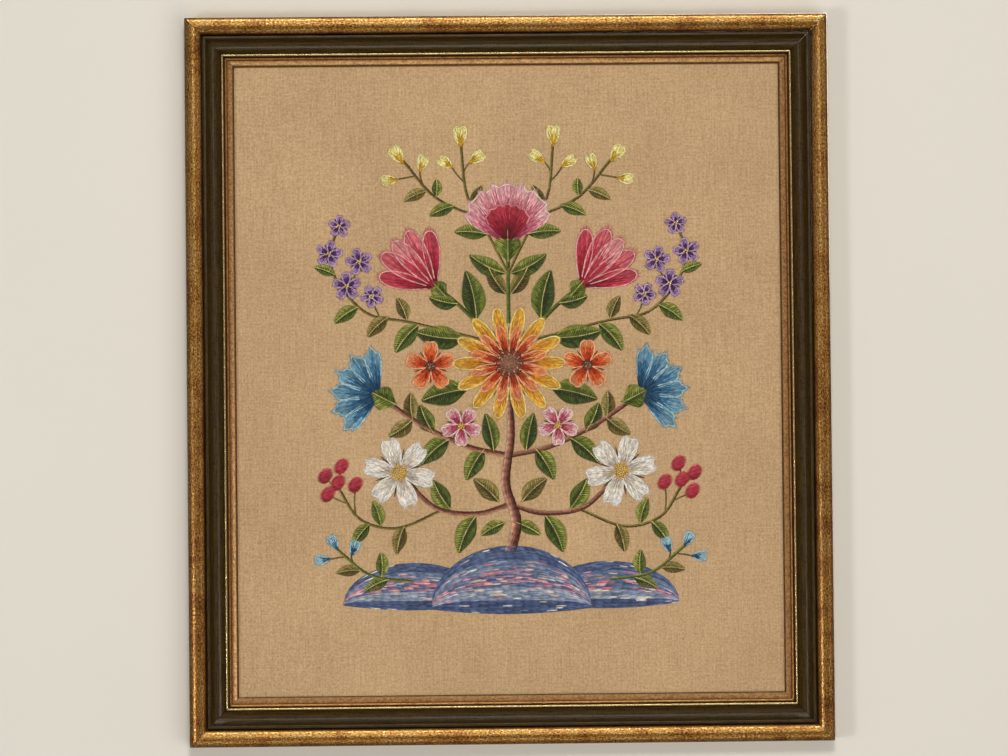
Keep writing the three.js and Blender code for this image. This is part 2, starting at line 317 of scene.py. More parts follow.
def slip_section():
    """A bright lip, a groove, a fine ridge, a bevel that rises and a rounded edge that falls to the linen."""
    start, end = node_insets("slip_rail_top")
    back = -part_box("slip_rail_top")[1].y / MM
    crest = -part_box("slip_rail_top")[0].y / MM
    lip = LIP_MM["start"] + LIP_MM["radius"]
    return [
        (start, back),
        (start, SLIP_FLANGE_MM),
        (LIP_MM["start"], SLIP_FLANGE_MM),
        *arc((lip, LIP_MM["spring"]), (LIP_MM["radius"], crest - LIP_MM["spring"]), 180, 0, steps=10),
        *hollow(GROOVE_MM["start"], GROOVE_MM["dip"], GROOVE_MM["end"], steps=6),
        *arc(RIDGE_MM["centre"], RIDGE_MM["radii"], 80, 8, steps=6),
        BEVEL_MM["start"],
        *hollow(BEVEL_MM["crest"], BEVEL_MM["shoulder"], (end, BEVEL_MM["sight"]), steps=5),
        (end, back),
    ]


def wander(along_mm, rng, wavelengths=(170.0, 71.0, 29.0)):
    """A smooth uneven line through zero, at most about one each way."""
    total = np.zeros_like(along_mm)
    for wavelength in wavelengths:
        total += np.sin(2 * np.pi * (along_mm / wavelength + rng.random()))
    return total / len(wavelengths)


# The hidden foot of a section is straight. Above this height it wanders, at first only a little.
STRAIGHT_UP_TO_MM = 10
WANDER_GROWS_OVER_MM = 3
RAIL_SHARP_DEG = 38


def rail(name, section, side, unevenness_mm, rng, material):
    """A mitred rail, its section swept from mitre to mitre; its UV runs along it and round it, in metres."""
    inset, height = np.array(section).T
    step = np.linspace(-1, 1, RAIL_STATIONS)[:, None]
    along = step * (side.length_mm / 2 - inset - MITRE_CUT_BACK_MM)
    shown = np.clip((height - STRAIGHT_UP_TO_MM) / WANDER_GROWS_OVER_MM, 0, 1)
    height = height - unevenness_mm * shown * (1 - wander(along, rng)) / 2
    out = side.across_mm / 2 - inset + 0 * along
    turn = side.quarter_turns * math.pi / 2
    x = along * math.cos(turn) + out * math.sin(turn)
    z = out * math.cos(turn) - along * math.sin(turn) + CENTRE_Z_MM
    vertices_mm = np.stack([x, -height, z], axis=2).reshape(-1, 3)

    count = len(section)
    rows, columns = np.meshgrid(np.arange(RAIL_STATIONS - 1), np.arange(count), indexing="ij")
    rows, columns = rows.ravel(), columns.ravel()
    following = (columns + 1) % count
    corners = ((rows, columns), (rows + 1, columns), (rows + 1, following), (rows, following))
    faces = np.stack([r * count + c for r, c in corners], axis=1).tolist()
    faces.append(list(range(count)))
    faces.append([(RAIL_STATIONS - 1) * count + c for c in reversed(range(count))])
    piece = new_piece(name, vertices_mm, faces, RAIL_SHARP_DEG, material)

    outline = np.array(section + section[:1])
    girth = np.concatenate([[0], np.cumsum(np.linalg.norm(np.diff(outline, axis=0), axis=1))])
    walls = np.stack([
        np.stack([along[r, c], girth[columns + (k > 1)]], axis=1) for k, (r, c) in enumerate(corners)
    ], axis=1).reshape(-1, 2)
    ends = np.concatenate([np.array(section), np.array(section[::-1])])
    uv = piece.data.uv_layers.new(name="rail")
    uv.data.foreach_set("uv", (np.concatenate([walls, ends]) * MM).ravel().astype(np.float32))
    from_edge = piece.data.attributes.new("inset", "FLOAT", "POINT")
    from_edge.data.foreach_set("value", (np.tile(inset, RAIL_STATIONS) * MM).astype(np.float32))
    return piece


def fit_moulding(kind, section, material, seed):
    """Four rails of one moulding, each in place of its plain one."""
    unevenness_mm = bpy.context.scene.moulding.unevenness / MM
    for side in SIDES:
        rng = np.random.default_rng((seed, side.quarter_turns))
        piece = rail(f"{kind}_{side.name}_finish", section, side, unevenness_mm, rng, material)
        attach(piece, BODY)
        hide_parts(f"{kind}_{side.name}")


# Materials of the frame.

PINE = {"pale": "b9935f", "dark": "8d6538"}


def along_rail(tree, length_mm, girth_mm, detail, roughness=0.5):
    """Noise with marks of about this length along a rail and this width round its section."""
    uv = node(tree, "ShaderNodeUVMap", uv_map="rail")
    stretched = node(tree, "ShaderNodeVectorMath", {0: uv, 1: (per_mm(length_mm), per_mm(girth_mm), 1.0)},
                     operation="MULTIPLY")
    return node(tree, "ShaderNodeTexNoise",
                {"Vector": stretched, "Scale": 1.0, "Detail": detail, "Roughness": roughness})


def bare_pine_back(tree, colour, roughness):
    """Mixes unfinished pine over the wall side of a rail, with grain along its length; returns both nodes."""
    normal = node(tree, "ShaderNodeNewGeometry").outputs["Normal"]
    sides = node(tree, "ShaderNodeSeparateXYZ", {"Vector": normal})
    wall_side = node(tree, "ShaderNodeMath", {0: sides.outputs["Y"], 1: 0.8}, operation="GREATER_THAN")
    pine = node(tree, "ShaderNodeValToRGB", {"Fac": along_rail(tree, 90, 2.5, detail=4.0)})
    set_ramp(pine, [(0.35, opaque(PINE["dark"])), (0.65, opaque(PINE["pale"]))])
    finish = node(tree, "ShaderNodeMix", {0: wall_side, 6: colour, 7: pine}, data_type="RGBA")
    rough = node(tree, "ShaderNodeMix", {0: wall_side, 2: roughness, 3: 0.8}, data_type="FLOAT")
    return finish, rough


def antique_gold_leaf(settings):
    """Gold leaf over red bole, stippled with a brown glaze that leaves small bright flecks; soft gloss."""
    material, tree, shader = new_material("antique_gold_leaf")
    place = node(tree, "ShaderNodeTexCoord").outputs["Object"]
    stipple = along_rail(tree, 1.9, 1.3, detail=3.0, roughness=0.65)
    cloud = node(tree, "ShaderNodeTexNoise",
                 {"Vector": place, "Scale": per_mm(20), "Detail": 4.0, "Roughness": 0.65})
    glaze = node(tree, "ShaderNodeMath", {0: cloud, 1: 0.4, 2: stipple}, operation="MULTIPLY_ADD")
    toned = node(tree, "ShaderNodeValToRGB", {"Fac": glaze})
    set_ramp(toned, [
        (0.53, (*settings.toning, 1)),
        (0.69, (*settings.gold, 1)),
        (0.81, opaque("dcb25c")),
        (0.92, opaque("fff0b8")),
    ])
    bole_mask = node(tree, "ShaderNodeMapRange",
                     {"Value": cloud, "From Min": 0.54, "From Max": 0.70, "To Max": 0.5})
    worn = node(tree, "ShaderNodeMix", {0: bole_mask, 6: toned, 7: (*settings.bole, 1)}, data_type="RGBA")
    roughness = node(tree, "ShaderNodeMapRange",
                     {"Value": stipple, "From Min": 0.3, "From Max": 0.7, "To Min": 0.42, "To Max": 0.26})
    colour, rough = bare_pine_back(tree, worn, roughness)
    bump = node(tree, "ShaderNodeBump", {"Height": stipple, "Strength": 0.5, "Distance": 0.3 * MM})
    fill(tree, shader, {"Base Color": colour, "Metallic": 0.9, "Roughness": rough, "Normal": bump,
                        "Coat Weight": 0.4, "Coat Roughness": 0.3})
    return material


def olive_black_paint(settings):
    """Brushed oil paint, rubbed to a low gloss: near black with an olive cast, faint brush lines along it."""
    material, tree, shader = new_material("olive_black_paint")
    place = node(tree, "ShaderNodeTexCoord").outputs["Object"]
    brush = along_rail(tree, 20, 1.1, detail=3.0)
    dust = node(tree, "ShaderNodeTexNoise",
                {"Vector": place, "Scale": per_mm(2.5), "Detail": 5.0, "Roughness": 0.75})
    brushed = node(tree, "ShaderNodeValToRGB", {"Fac": brush})
    set_ramp(brushed, [(0.3, opaque("251906")), (0.7, (*settings.black, 1))])
    dust_mask = node(tree, "ShaderNodeMapRange",
                     {"Value": dust, "From Min": 0.52, "From Max": 0.76, "To Max": 0.4})
    dusted = node(tree, "ShaderNodeMix", {0: dust_mask, 6: brushed, 7: opaque("4e4222")}, data_type="RGBA")
    roughness = node(tree, "ShaderNodeMapRange",
                     {"Value": dust, "From Min": 0.35, "From Max": 0.65, "To Min": 0.22, "To Max": 0.42})
    colour, rough = bare_pine_back(tree, dusted, roughness)
    uneven = node(tree, "ShaderNodeMath", {0: brush, 1: dust}, operation="ADD")
    bump = node(tree, "ShaderNodeBump", {"Height": uneven, "Strength": 0.5, "Distance": 0.25 * MM})
    fill(tree, shader, {"Base Color": colour, "Roughness": rough, "Normal": bump, "Specular IOR Level": 0.42})
    return material


# Colours of the slip from its outer edge to its inner one; None is the settings' bronze.
SLIP_BANDS = table("inset_mm colour", [
    (31.2, "a97c3c"),
    (31.6, "ffe4aa"),
    (32.5, "ffe4aa"),
    # The groove: brown, painted darker towards its bottom as painted shade.
    (33.1, "6e431a"),
    (33.6, "5a3414"),
    (34.2, "6e431a"),
    (34.6, "9c7038"),
    (35.5, "ab7d42"),
    # The crease where the ridge drops to the bevel: painted darker as painted shade.
    (36.0, "6e4218"),
    (36.3, "5a3616"),
    (36.6, None),
    (40.2, None),
    # The edge that falls to the linen at the sight: painted dark as a painted shadow line.
    (40.7, "86602e"),
    (42.0, "4e3214"),
])

# Where the burnished lip ends, and over how much it turns dull.
POLISH_MM = {"end": 32.5, "fade": 0.6}


def bronze_gilt(settings):
    """Bronze powder gilding: lip burnished, ridge rubbed, groove brown, bevel dull; painted shade in the
    groove and crease, a painted shadow at the sight.
    """
    material, tree, shader = new_material("bronze_gilt")
    first, last = SLIP_BANDS[0].inset_mm, SLIP_BANDS[-1].inset_mm
    inset = node(tree, "ShaderNodeAttribute", attribute_name="inset").outputs["Fac"]
    across = node(tree, "ShaderNodeMapRange", {"Value": inset, "From Min": first * MM, "From Max": last * MM})
    bands = node(tree, "ShaderNodeValToRGB", {"Fac": across})
    set_ramp(bands, [
        ((band.inset_mm - first) / (last - first),
         opaque(band.colour) if band.colour else (*settings.bronze, 1))
        for band in SLIP_BANDS
    ])
    place = node(tree, "ShaderNodeTexCoord").outputs["Object"]
    grain = node(tree, "ShaderNodeTexNoise",
                 {"Vector": place, "Scale": per_mm(1.8), "Detail": 3.0, "Roughness": 0.6})
    tone = node(tree, "ShaderNodeMapRange",
                {"Value": grain, "From Min": 0.3, "From Max": 0.7, "To Min": 0.42, "To Max": 1.5})
    colour = node(tree, "ShaderNodeVectorMath", {0: bands, "Scale": tone}, operation="SCALE")
    bump = node(tree, "ShaderNodeBump", {"Height": grain, "Strength": 0.6, "Distance": 0.3 * MM})
    dull_from = (POLISH_MM["end"] + POLISH_MM["fade"]) * MM
    metallic, roughness = (
        node(tree, "ShaderNodeMapRange", {
            "Value": inset, "From Min": POLISH_MM["end"] * MM, "From Max": dull_from,
            "To Min": burnished, "To Max": dull,
        })
        for burnished, dull in ((0.95, 0.5), (0.22, 0.36))
    )
    fill(tree, shader, {"Base Color": colour, "Metallic": metallic, "Roughness": roughness, "Normal": bump})
    return material


def pressed_hardboard():
    """Brown pressed wood fibre, smooth and matt, with fine darker fibres."""
    material, tree, shader = new_material("pressed_hardboard")
    place = node(tree, "ShaderNodeTexCoord").outputs["Object"]
    fibre = node(tree, "ShaderNodeTexNoise",
                 {"Vector": place, "Scale": per_mm(2), "Detail": 6.0, "Roughness": 0.75})
    cloud = node(tree, "ShaderNodeTexNoise", {"Vector": place, "Scale": per_mm(60), "Detail": 3.0})
    blend = node(tree, "ShaderNodeMath", {0: cloud, 1: 0.25, 2: fibre}, operation="MULTIPLY_ADD")
    tone = node(tree, "ShaderNodeMapRange", {"Value": blend, "From Min": 0.38, "From Max": 0.88})
    colour = node(tree, "ShaderNodeValToRGB", {"Fac": tone})
    set_ramp(colour, [(0.0, opaque("5e4028")), (0.5, opaque("7b5a3b")), (1.0, opaque("94704c"))])
    bump = node(tree, "ShaderNodeBump", {"Height": fibre, "Strength": 0.2, "Distance": 0.2 * MM})
    fill(tree, shader, {"Base Color": colour, "Roughness": 0.75, "Normal": bump})
    return material


# Linen and backing board.

SHEET_CELL_MM = 6.0

# How much the crossings of the weave and the slubs of each thread count, beside the fuzz.
LINEN_SHARES = {"weave": 0.1, "warp": 0.53, "weft": 0.38}


# The two slow waves of the stretched cloth: how far each goes across and up for one radian.
SWELLS_MM = ((47, 83), (-110, 61))
SHEET_SHARP_DEG = 40


def thin_sheet(name, width_mm, height_mm, front_mm, back_mm, swell_mm, material):
    """A closed thin sheet: a fine front that swells a little, a flat back and straight edges."""
    across = int(round(width_mm / SHEET_CELL_MM)) + 1
    up = int(round(height_mm / SHEET_CELL_MM)) + 1
    x, z = np.meshgrid(np.linspace(-0.5, 0.5, across) * width_mm, np.linspace(-0.5, 0.5, up) * height_mm)
    swell = swell_mm * sum(np.sin(x / a + z / b) for a, b in SWELLS_MM) / len(SWELLS_MM)
    front = np.stack([x, -(front_mm + swell), z + CENTRE_Z_MM], axis=2).reshape(-1, 3)
    back = np.stack([x, np.full_like(x, -back_mm), z + CENTRE_Z_MM], axis=2).reshape(-1, 3)
    grid = np.arange(across * up).reshape(up, across)
    quads = np.stack([grid[:-1, :-1], grid[:-1, 1:], grid[1:, 1:], grid[1:, :-1]], axis=2).reshape(-1, 4)
    rim = np.concatenate([grid[0, :-1], grid[:-1, -1], grid[-1, :0:-1], grid[:0:-1, 0]])
    edge = np.stack([np.roll(rim, -1), rim, rim + len(front), np.roll(rim, -1) + len(front)], axis=1)
    faces = np.concatenate([quads, quads[:, ::-1] + len(front), edge])
    return new_piece(name, np.concatenate([front, back]), faces.tolist(), SHEET_SHARP_DEG, material)


def unbleached_linen(settings):
    """Plain-weave flax: fuzzy threads over and under, with thick and thin places and few dark specks; matt.
    The fuzz is drawn coarser than such linen's, because a finer one would not show."""
    material, tree, shader = new_material("unbleached_linen")
    place = node(tree, "ShaderNodeTexCoord").outputs["Object"]
    waver = node(tree, "ShaderNodeTexNoise", {"Vector": place, "Scale": per_mm(30), "Detail": 3.0})
    shift = node(tree, "ShaderNodeVectorMath", {0: waver.outputs["Color"], 1: (0.5, 0.5, 0.5)},
                 operation="SUBTRACT")
    moved = node(tree, "ShaderNodeVectorMath", {0: shift, 1: (2.2 * MM,) * 3, 2: place},
                 operation="MULTIPLY_ADD")
    axis = node(tree, "ShaderNodeSeparateXYZ", {"Vector": moved})
    wave = {}
    for name in ("X", "Z"):
        angle = node(tree, "ShaderNodeMath", {0: axis.outputs[name], 1: math.pi / settings.thread_pitch},
                     operation="MULTIPLY")
        wave[name] = node(tree, "ShaderNodeMath", {0: angle}, operation="SINE")
    crossing = node(tree, "ShaderNodeMath", {0: wave["X"], 1: wave["Z"]}, operation="MULTIPLY")
    weave = node(tree, "ShaderNodeMath", {0: crossing}, operation="ABSOLUTE")
    fuzz = node(tree, "ShaderNodeTexNoise", {"Vector": place, "Scale": per_mm(1.8), "Detail": 2.0})
    relief = node(tree, "ShaderNodeMath", {0: weave, 1: LINEN_SHARES["weave"], 2: fuzz},
                  operation="MULTIPLY_ADD")
    for name, scale in (("warp", (per_mm(1.2), 0.0, per_mm(35))), ("weft", (per_mm(22), 0.0, per_mm(1.2)))):
        stretched = node(tree, "ShaderNodeVectorMath", {0: moved, 1: scale}, operation="MULTIPLY")
        slubs = node(tree, "ShaderNodeTexNoise", {"Vector": stretched, "Scale": 1.0, "Detail": 2.0})
        relief = node(tree, "ShaderNodeMath", {0: slubs, 1: LINEN_SHARES[name], 2: relief},
                      operation="MULTIPLY_ADD")
    tone = node(tree, "ShaderNodeMapRange", {"Value": relief, "From Min": 0.7, "From Max": 1.3})
    flax = np.array(settings.flax)
    threads_tone = node(tree, "ShaderNodeValToRGB", {"Fac": tone})
    set_ramp(threads_tone, [
        (0.0, (*(flax * (0.76, 0.72, 0.66)), 1)),
        (0.5, (*flax, 1)),
        (1.0, (*(flax * (1.24, 1.27, 1.33)), 1)),
    ])
    age = node(tree, "ShaderNodeTexNoise", {"Vector": place, "Scale": per_mm(90), "Detail": 4.0})
    aged = node(tree, "ShaderNodeMapRange",
                {"Value": age, "From Min": 0.3, "From Max": 0.7, "To Min": 0.93, "To Max": 1.06})
    woven = node(tree, "ShaderNodeVectorMath", {0: threads_tone, "Scale": aged}, operation="SCALE")
    speck = node(tree, "ShaderNodeTexNoise", {"Vector": place, "Scale": per_mm(3.5), "Detail": 1.0})
    speck_mask = node(tree, "ShaderNodeMapRange",
                      {"Value": speck, "From Min": 0.76, "From Max": 0.82, "To Max": 0.4})
    colour = node(tree, "ShaderNodeMix", {0: speck_mask, 6: woven, 7: opaque("7a5634")}, data_type="RGBA")
    bump = node(tree, "ShaderNodeBump", {"Height": relief, "Strength": 0.3, "Distance": 0.3 * MM})
    fill(tree, shader, {"Base Color": colour, "Roughness": 0.9, "Normal": bump,
                        "Sheen Weight": 0.1, "Specular IOR Level": 0.25})
    return material


# Wool: dyes, from the darkest shade to the palest.

DYES = {
    "crimson": ("5e0d1c", "a31f35", "cf4458", "f0b0b2"),
    "rose": ("8a1f42", "c25a72", "e395a3", "f8dcd8"),
    "orange": ("8f2408", "cf4a1a", "ea7a3a", "f7c092"),
    "gold": ("94520a", "d28a1a", "eeb83c", "fae6a0"),
    "lemon": ("a5740c", "dcb020", "f2d850", "fbf2b4"),
    "white": ("8f8478", "d4cabd", "efe9dd", "fbf7ee"),
    "blue": ("12304f", "2c5f88", "5a95b6", "aed0da"),
    "violet": ("2a1240", "542c66", "8a619d", "c5a8cc"),
    "leaf": ("1c2a0a", "45571b", "7f8c32", "c4c26a"),
    "moss": ("2e270a", "5a4d1b", "8c7e38", "c4b673"),
    "bark": ("35100a", "74402f", "b37c64", "d9b09a"),
    "slate": ("35446f", "566a97", "7f91b4", "b4bfcf"),
    "pollen": ("b98214", "dca828", "f0cc54", "f7e39a"),
}


def shade(dye, step):
    """Linear colour of a dye at a step from 0, its darkest shade, to 3, its palest."""
    family = [np.array(linear(code)) for code in DYES[dye]]
    low = int(np.clip(math.floor(step), 0, 2))
    return family[low] + (family[low + 1] - family[low]) * np.clip(step - low, 0, 1)


# The stitched tree. Rows are the right-hand half, and each is worked again as its mirror image.
# shades run from a motif's base to its tip, or over a leaf's two sides.

MOUND_BANDS = table("step rose_share pale_share", [
    (0.9, 0.0, 0.04),
    (1.9, 0.10, 0.05),
    (1.3, 0.35, 0.06),
    (2.4, 0.03, 0.10),
    (0.7, 0.0, 0.05),
])
SIDE_MOUND = {"centre": (84, -194), "half_width": 60, "height": 36, "lift": 0.2}
MOUND = {"centre": (0, -198), "half_width": 68, "height": 54, "lift": 0.5}

TRUNK = table("route dye rows shades lift stitch taper", [
    ([(0, -148), (5, -122), (-4, -90), (1, -50), (0, -20)], "bark", 9, (0.0, 2.9), 0.55, 9, 0.55),
    ([(0, 50), (0, 84), (0, 112)], "leaf", 3, (0.8, 1.8), 0.3, 6, 1.0),
])
BRANCHES = table("route dye rows shades lift stitch taper", [
    ([(0, -108), (28, -116), (62, -112), (86, -92)], "bark", 4, (0.6, 2.2), 0.45, 7, 0.8),
    ([(60, -113), (98, -128), (130, -120), (148, -94)], "moss", 2, (1, 2), 0.3, 6, 1.0),
    ([(0, -66), (36, -58), (74, -40), (104, -20)], "bark", 4, (0.6, 2.2), 0.45, 7, 0.8),
    ([(10, 30), (40, 62), (64, 82)], "leaf", 3, (0.6, 1.8), 0.3, 6, 1.0),
    ([(20, 34), (84, 50), (122, 58), (148, 86), (154, 110), (148, 130)], "moss", 2, (1, 2), 0.3, 6, 1.0),
    ([(0, 92), (18, 128), (35, 160), (40, 204)], "moss", 2, (1, 2), 0.3, 6, 1.0),
    ([(24, 140), (62, 158), (90, 190)], "moss", 2, (0.8, 1.8), 0.3, 6, 1.0),
    ([(86, -174), (122, -168), (150, -146)], "leaf", 2, (1, 2), 0.5, 6, 1.0),
])
STALK = {"dye": "moss", "rows": 1, "shades": (1.4, 1.4), "lift": 0.3, "stitch": 5, "taper": 1.0}
STALK_BEND = 1
STALKS = table("start end", [
    ((112, 56), (117, 70)),
    ((138, 72), (130, 98)),
    ((38, 178), (33, 188)),
    ((38, 172), (48, 185)),
    ((72, 167), (76, 182)),
    ((80, 177), (96, 174)),
    ((134, -116), (134, -92)),
    ((142, -106), (158, -98)),
    ((148, -94), (160, -83)),
    ((148, -92), (146, -75)),
    ((136, -158), (138, -150)),
    ((142, -152), (156, -154)),
])
LEAVES = table("x z aim length width bend dye shades", [
    (30, -118, -65, 36, 15, 0.25, "leaf", (0.8, 1.9)),
    (52, -112, 60, 30, 14, -0.2, "leaf", (1.9, 1.0)),
    (10, -106, 42, 30, 13, 0.2, "moss", (1.0, 2.0)),
    (5, -124, -28, 24, 10, 0.2, "leaf", (1.0, 2.0)),
    (92, -126, -75, 26, 11, 0.2, "moss", (1.0, 2.0)),
    (112, -126, 72, 24, 10, 0.2, "leaf", (1.2, 2.2)),
    (122, -124, -52, 24, 10, 0.2, "leaf", (0.8, 1.8)),
    (14, -62, 78, 34, 13, 0.1, "leaf", (0.5, 1.5)),
    (22, -60, -60, 32, 14, 0.2, "leaf", (0.9, 1.9)),
    (52, -51, -42, 34, 15, 0.25, "leaf", (0.7, 1.7)),
    (66, -46, 66, 28, 13, -0.2, "leaf", (0.6, 1.5)),
    (84, -34, -34, 26, 12, -0.2, "moss", (1.1, 2.1)),
    (84, -34, 88, 24, 11, -0.2, "moss", (1.1, 2.1)),
    (36, -8, -14, 42, 19, 0.15, "leaf", (0.5, 1.5)),
    (38, 36, 8, 44, 18, -0.2, "leaf", (0.6, 1.7)),
    (78, 48, -50, 32, 14, 0.25, "leaf", (0.9, 1.9)),
    (88, 52, 66, 22, 10, 0.2, "moss", (1.0, 2.0)),
    (104, 55, -44, 26, 11, 0.25, "moss", (1.0, 2.0)),
    (130, 64, -34, 26, 11, 0.2, "leaf", (1.0, 2.1)),
    (150, 92, 20, 20, 8, 0.2, "leaf", (1.0, 2.1)),
    (28, 52, 78, 44, 18, 0.2, "leaf", (0.5, 1.4)),
    (44, 66, 14, 26, 12, -0.2, "leaf", (0.7, 1.6)),
    (2, 92, 28, 36, 14, -0.25, "leaf", (0.8, 1.8)),
    (2, 74, 58, 30, 12, -0.2, "moss", (0.8, 1.8)),
    (17, 126, 4, 30, 12, 0.2, "leaf", (1.0, 2.0)),
    (32, 152, 122, 20, 8, 0.1, "moss", (1.0, 2.0)),
    (46, 151, -22, 24, 10, 0.2, "leaf", (1.0, 2.0)),
    (62, 159, 92, 16, 8, 0.2, "leaf", (1.0, 2.0)),
    (70, 164, -24, 22, 9, 0.2, "moss", (1.2, 2.2)),
    (106, -172, -26, 24, 11, 0.2, "leaf", (0.9, 1.9)),
    (112, -170, 88, 22, 10, 0.2, "leaf", (1.1, 2.1)),
    (130, -164, -6, 22, 9, 0.2, "moss", (1.1, 2.1)),
])
CUPS = table("x z aim length width", [
    (98, -21, 27, 24, 18),
    (54, 72, 48, 18, 13),
])
BLOSSOM_STYLES = {style.dye: style for style in table(
    "dye petals shades edge notch rows lift eye eye_dye eye_shades gap_dye", [
        ("white", 6, (0.6, 2.8), 3.0, 0.16, 3, 0.6, 8, "pollen", (0.8, 2.4), "moss"),
        ("orange", 5, (0.2, 2.3), 2.9, 0.10, 3, 0.6, 4.6, "bark", (0.0, 1.0), "orange"),
        ("rose", 5, (0.3, 2.5), 3.0, 0.15, 3, 0.6, 3.8, "pollen", (1.0, 2.5), "crimson"),
        ("violet", 5, (0.7, 2.4), 2.9, 0.12, 2, 0.7, 2.4, "pollen", (2.0, 3.0), "violet"),
    ])}
BLOSSOMS = table("x z radius turn dye", [
    (96, -80, 33, 12, "white"),
    (68, 12, 23, 90, "orange"),
    (42, -40, 19, 54, "rose"),
    (118, 73, 10.5, 134, "violet"),
    (140, 82, 13, 160, "violet"),
    (155, 110, 12, 175, "violet"),
    (129, 103, 12, 149, "violet"),
    (146, 134, 10, 166, "violet"),
])
CORNFLOWER = {"base": (113, -13), "aim": 18, "offsets": (-62, -37, -12, 13, 38, 63), "lifts": (0.6, 0.7)}
CORNFLOWER_PETAL = {"length": 43, "spread": 16, "dye": "blue", "shades": (0.2, 2.2), "blunt": 0.25,
                    "inner": 0.14, "edge": 2.9, "teeth": 3}
TULIP_BASE = (63, 80)
TULIP_PETAL = {"spread": 19, "dye": "crimson", "blunt": 0.6, "inner": 0.06, "edge": 3.0}
TULIP_PETALS = table("aim length shades lift", [
    (84, 50, (0.2, 1.9), 0.56),
    (12, 50, (0.2, 1.9), 0.56),
    (64, 55, (0.5, 2.2), 0.65),
    (32, 55, (0.5, 2.2), 0.65),
    (48, 54, (1.0, 2.6), 0.80),
])
BELL_PETAL = {"spread": 36, "shades": (0.6, 2.6), "edge": 2.9, "notch": 0.2, "rows": 2}
BELLS = table("x z aim length dye", [
    (40, 202, 88, 20, "lemon"),
    (33, 188, 146, 17, "lemon"),
    (47, 184, 34, 16, "lemon"),
    (90, 188, 55, 19, "lemon"),
    (76, 181, 108, 16, "lemon"),
    (95, 174, -4, 16, "lemon"),
    (150, -146, 60, 15, "blue"),
    (138, -151, 110, 15, "blue"),
    (156, -154, -4, 15, "blue"),
])
BERRY_RADIUS = 6.4
BERRIES = ((149, -88), (158, -98), (134, -90), (160, -82), (146, -74))
UPWARD = 90
CARNATION_BASE = (0, 118)
CARNATION_PETAL = {"blunt": 0.10, "inner": 0.14}
CARNATION_PETALS = table("length spread dye shades lift edge teeth rows", [
    (54, 64, "rose", (0.1, 2.3), 0.6, 3.0, 9, 4),
    (36, 46, "crimson", (0.0, 1.4), 0.9, 2.6, 7, 3),
])
CARNATION_CUP = {"base": (0, 102), "aim": UPWARD, "length": 29, "width": 20}
CENTRE = (0, 14)
CENTRE_RINGS = table("radius petals turn dye shades fill lift inner edge rows", [
    (49, 14, 0, "gold", (0.3, 1.9), 1.06, 0.6, 0.25, 2.9, 3),
    (34, 12, 15, "orange", (0.4, 2.2), 1.0, 0.9, 0.30, 2.8, 2),
])
CENTRE_EYE = {"radius": 13, "dye": "bark", "shades": (0.2, 1.8), "size": 2.3, "lift": 1.1}

# From one stitch to the next, in widths of a strand: under one, so that little linen shows between them.
PACKING = {"stem": 0.82, "petal": 0.88, "leaf": 0.86, "berry": 0.85, "mound": 0.78}
# A stem stitch: its pace as a share of its length, its slant, and how far it overlaps its neighbours.
STEM = {"pace": 0.62, "slant_mm": 0.25, "behind_mm": 0.8, "beyond_mm": 1.2}
# A petal: a tooth's depth and a notch's width as shares of it, its shortest ray, how far the ends of inner
# stitches alternate and stray as shares of a ray, and how far one row overlaps the last.
PETAL = {"tooth": 0.13, "notch_width": 0.22, "shortest": 0.12, "stagger": 0.05, "stray": 0.10,
         "overlap_mm": 1.6}
# Shorter stitches over those of a leaf: how far they reach, and their steps beside the rib and at the rim.
LEAF = {"reach": (0.35, 0.65), "dark": -0.8, "pale": 0.6}
CUP = {"dye": "leaf", "shades": (1.2, 1.9), "lift": 0.75, "rib": 2.9}
# Knots of a disc: how many for a radius of one knot, the turn from each to the next, and their sizes.
KNOTS = {"packing": 3.4, "golden_turn": 137.508, "sizes": (0.88, 1.1)}
MOUND_ROW = {"pace_mm": 7.5, "sag_mm": 5}
# How far single stitches stray: tone and girth by a share of themselves, lift in millimetres.
UNEVEN = {"tone": 0.32, "lift_mm": 0.05, "girth": 0.08, "knot_tone": 0.15}

Stitch = namedtuple("Stitch", "start end lift girth colour")
Knot = namedtuple("Knot", "place size lift colour")


def heading(degrees):
    """Unit direction at an angle, counted from the right towards the top."""
    return np.array([math.cos(math.radians(degrees)), math.sin(math.radians(degrees))])


def smooth_line(points, steps=12):
    """A smooth line through points, each of its spans cut into steps."""
    p = np.array(points, float)
    p = np.vstack([2 * p[0] - p[1], p, 2 * p[-1] - p[-2]])
    t = np.linspace(0, 1, steps, endpoint=False)[:, None]
    spans = []
    for before, a, b, after in zip(p, p[1:], p[2:], p[3:]):
        bend = 2 * before - 5 * a + 4 * b - after
        twist = 3 * a - before - 3 * b + after
        spans.append(0.5 * (2 * a + (b - before) * t + bend * t ** 2 + twist * t ** 3))
    return np.vstack([*spans, p[-2]])


def paced(line, pace):
    """Points about a pace apart on a line, their unit directions, and how far along each is, from 0 to 1."""
    run = np.concatenate([[0], np.cumsum(np.linalg.norm(np.diff(line, axis=0), axis=1))])
    at = np.linspace(0, run[-1], max(2, int(round(run[-1] / pace)) + 1))
    points = np.stack([np.interp(at, run, line[:, k]) for k in (0, 1)], axis=1)
    ahead = np.gradient(points, axis=0)
    return points, ahead / np.maximum(np.linalg.norm(ahead, axis=1, keepdims=True), 1e-9), at / run[-1]


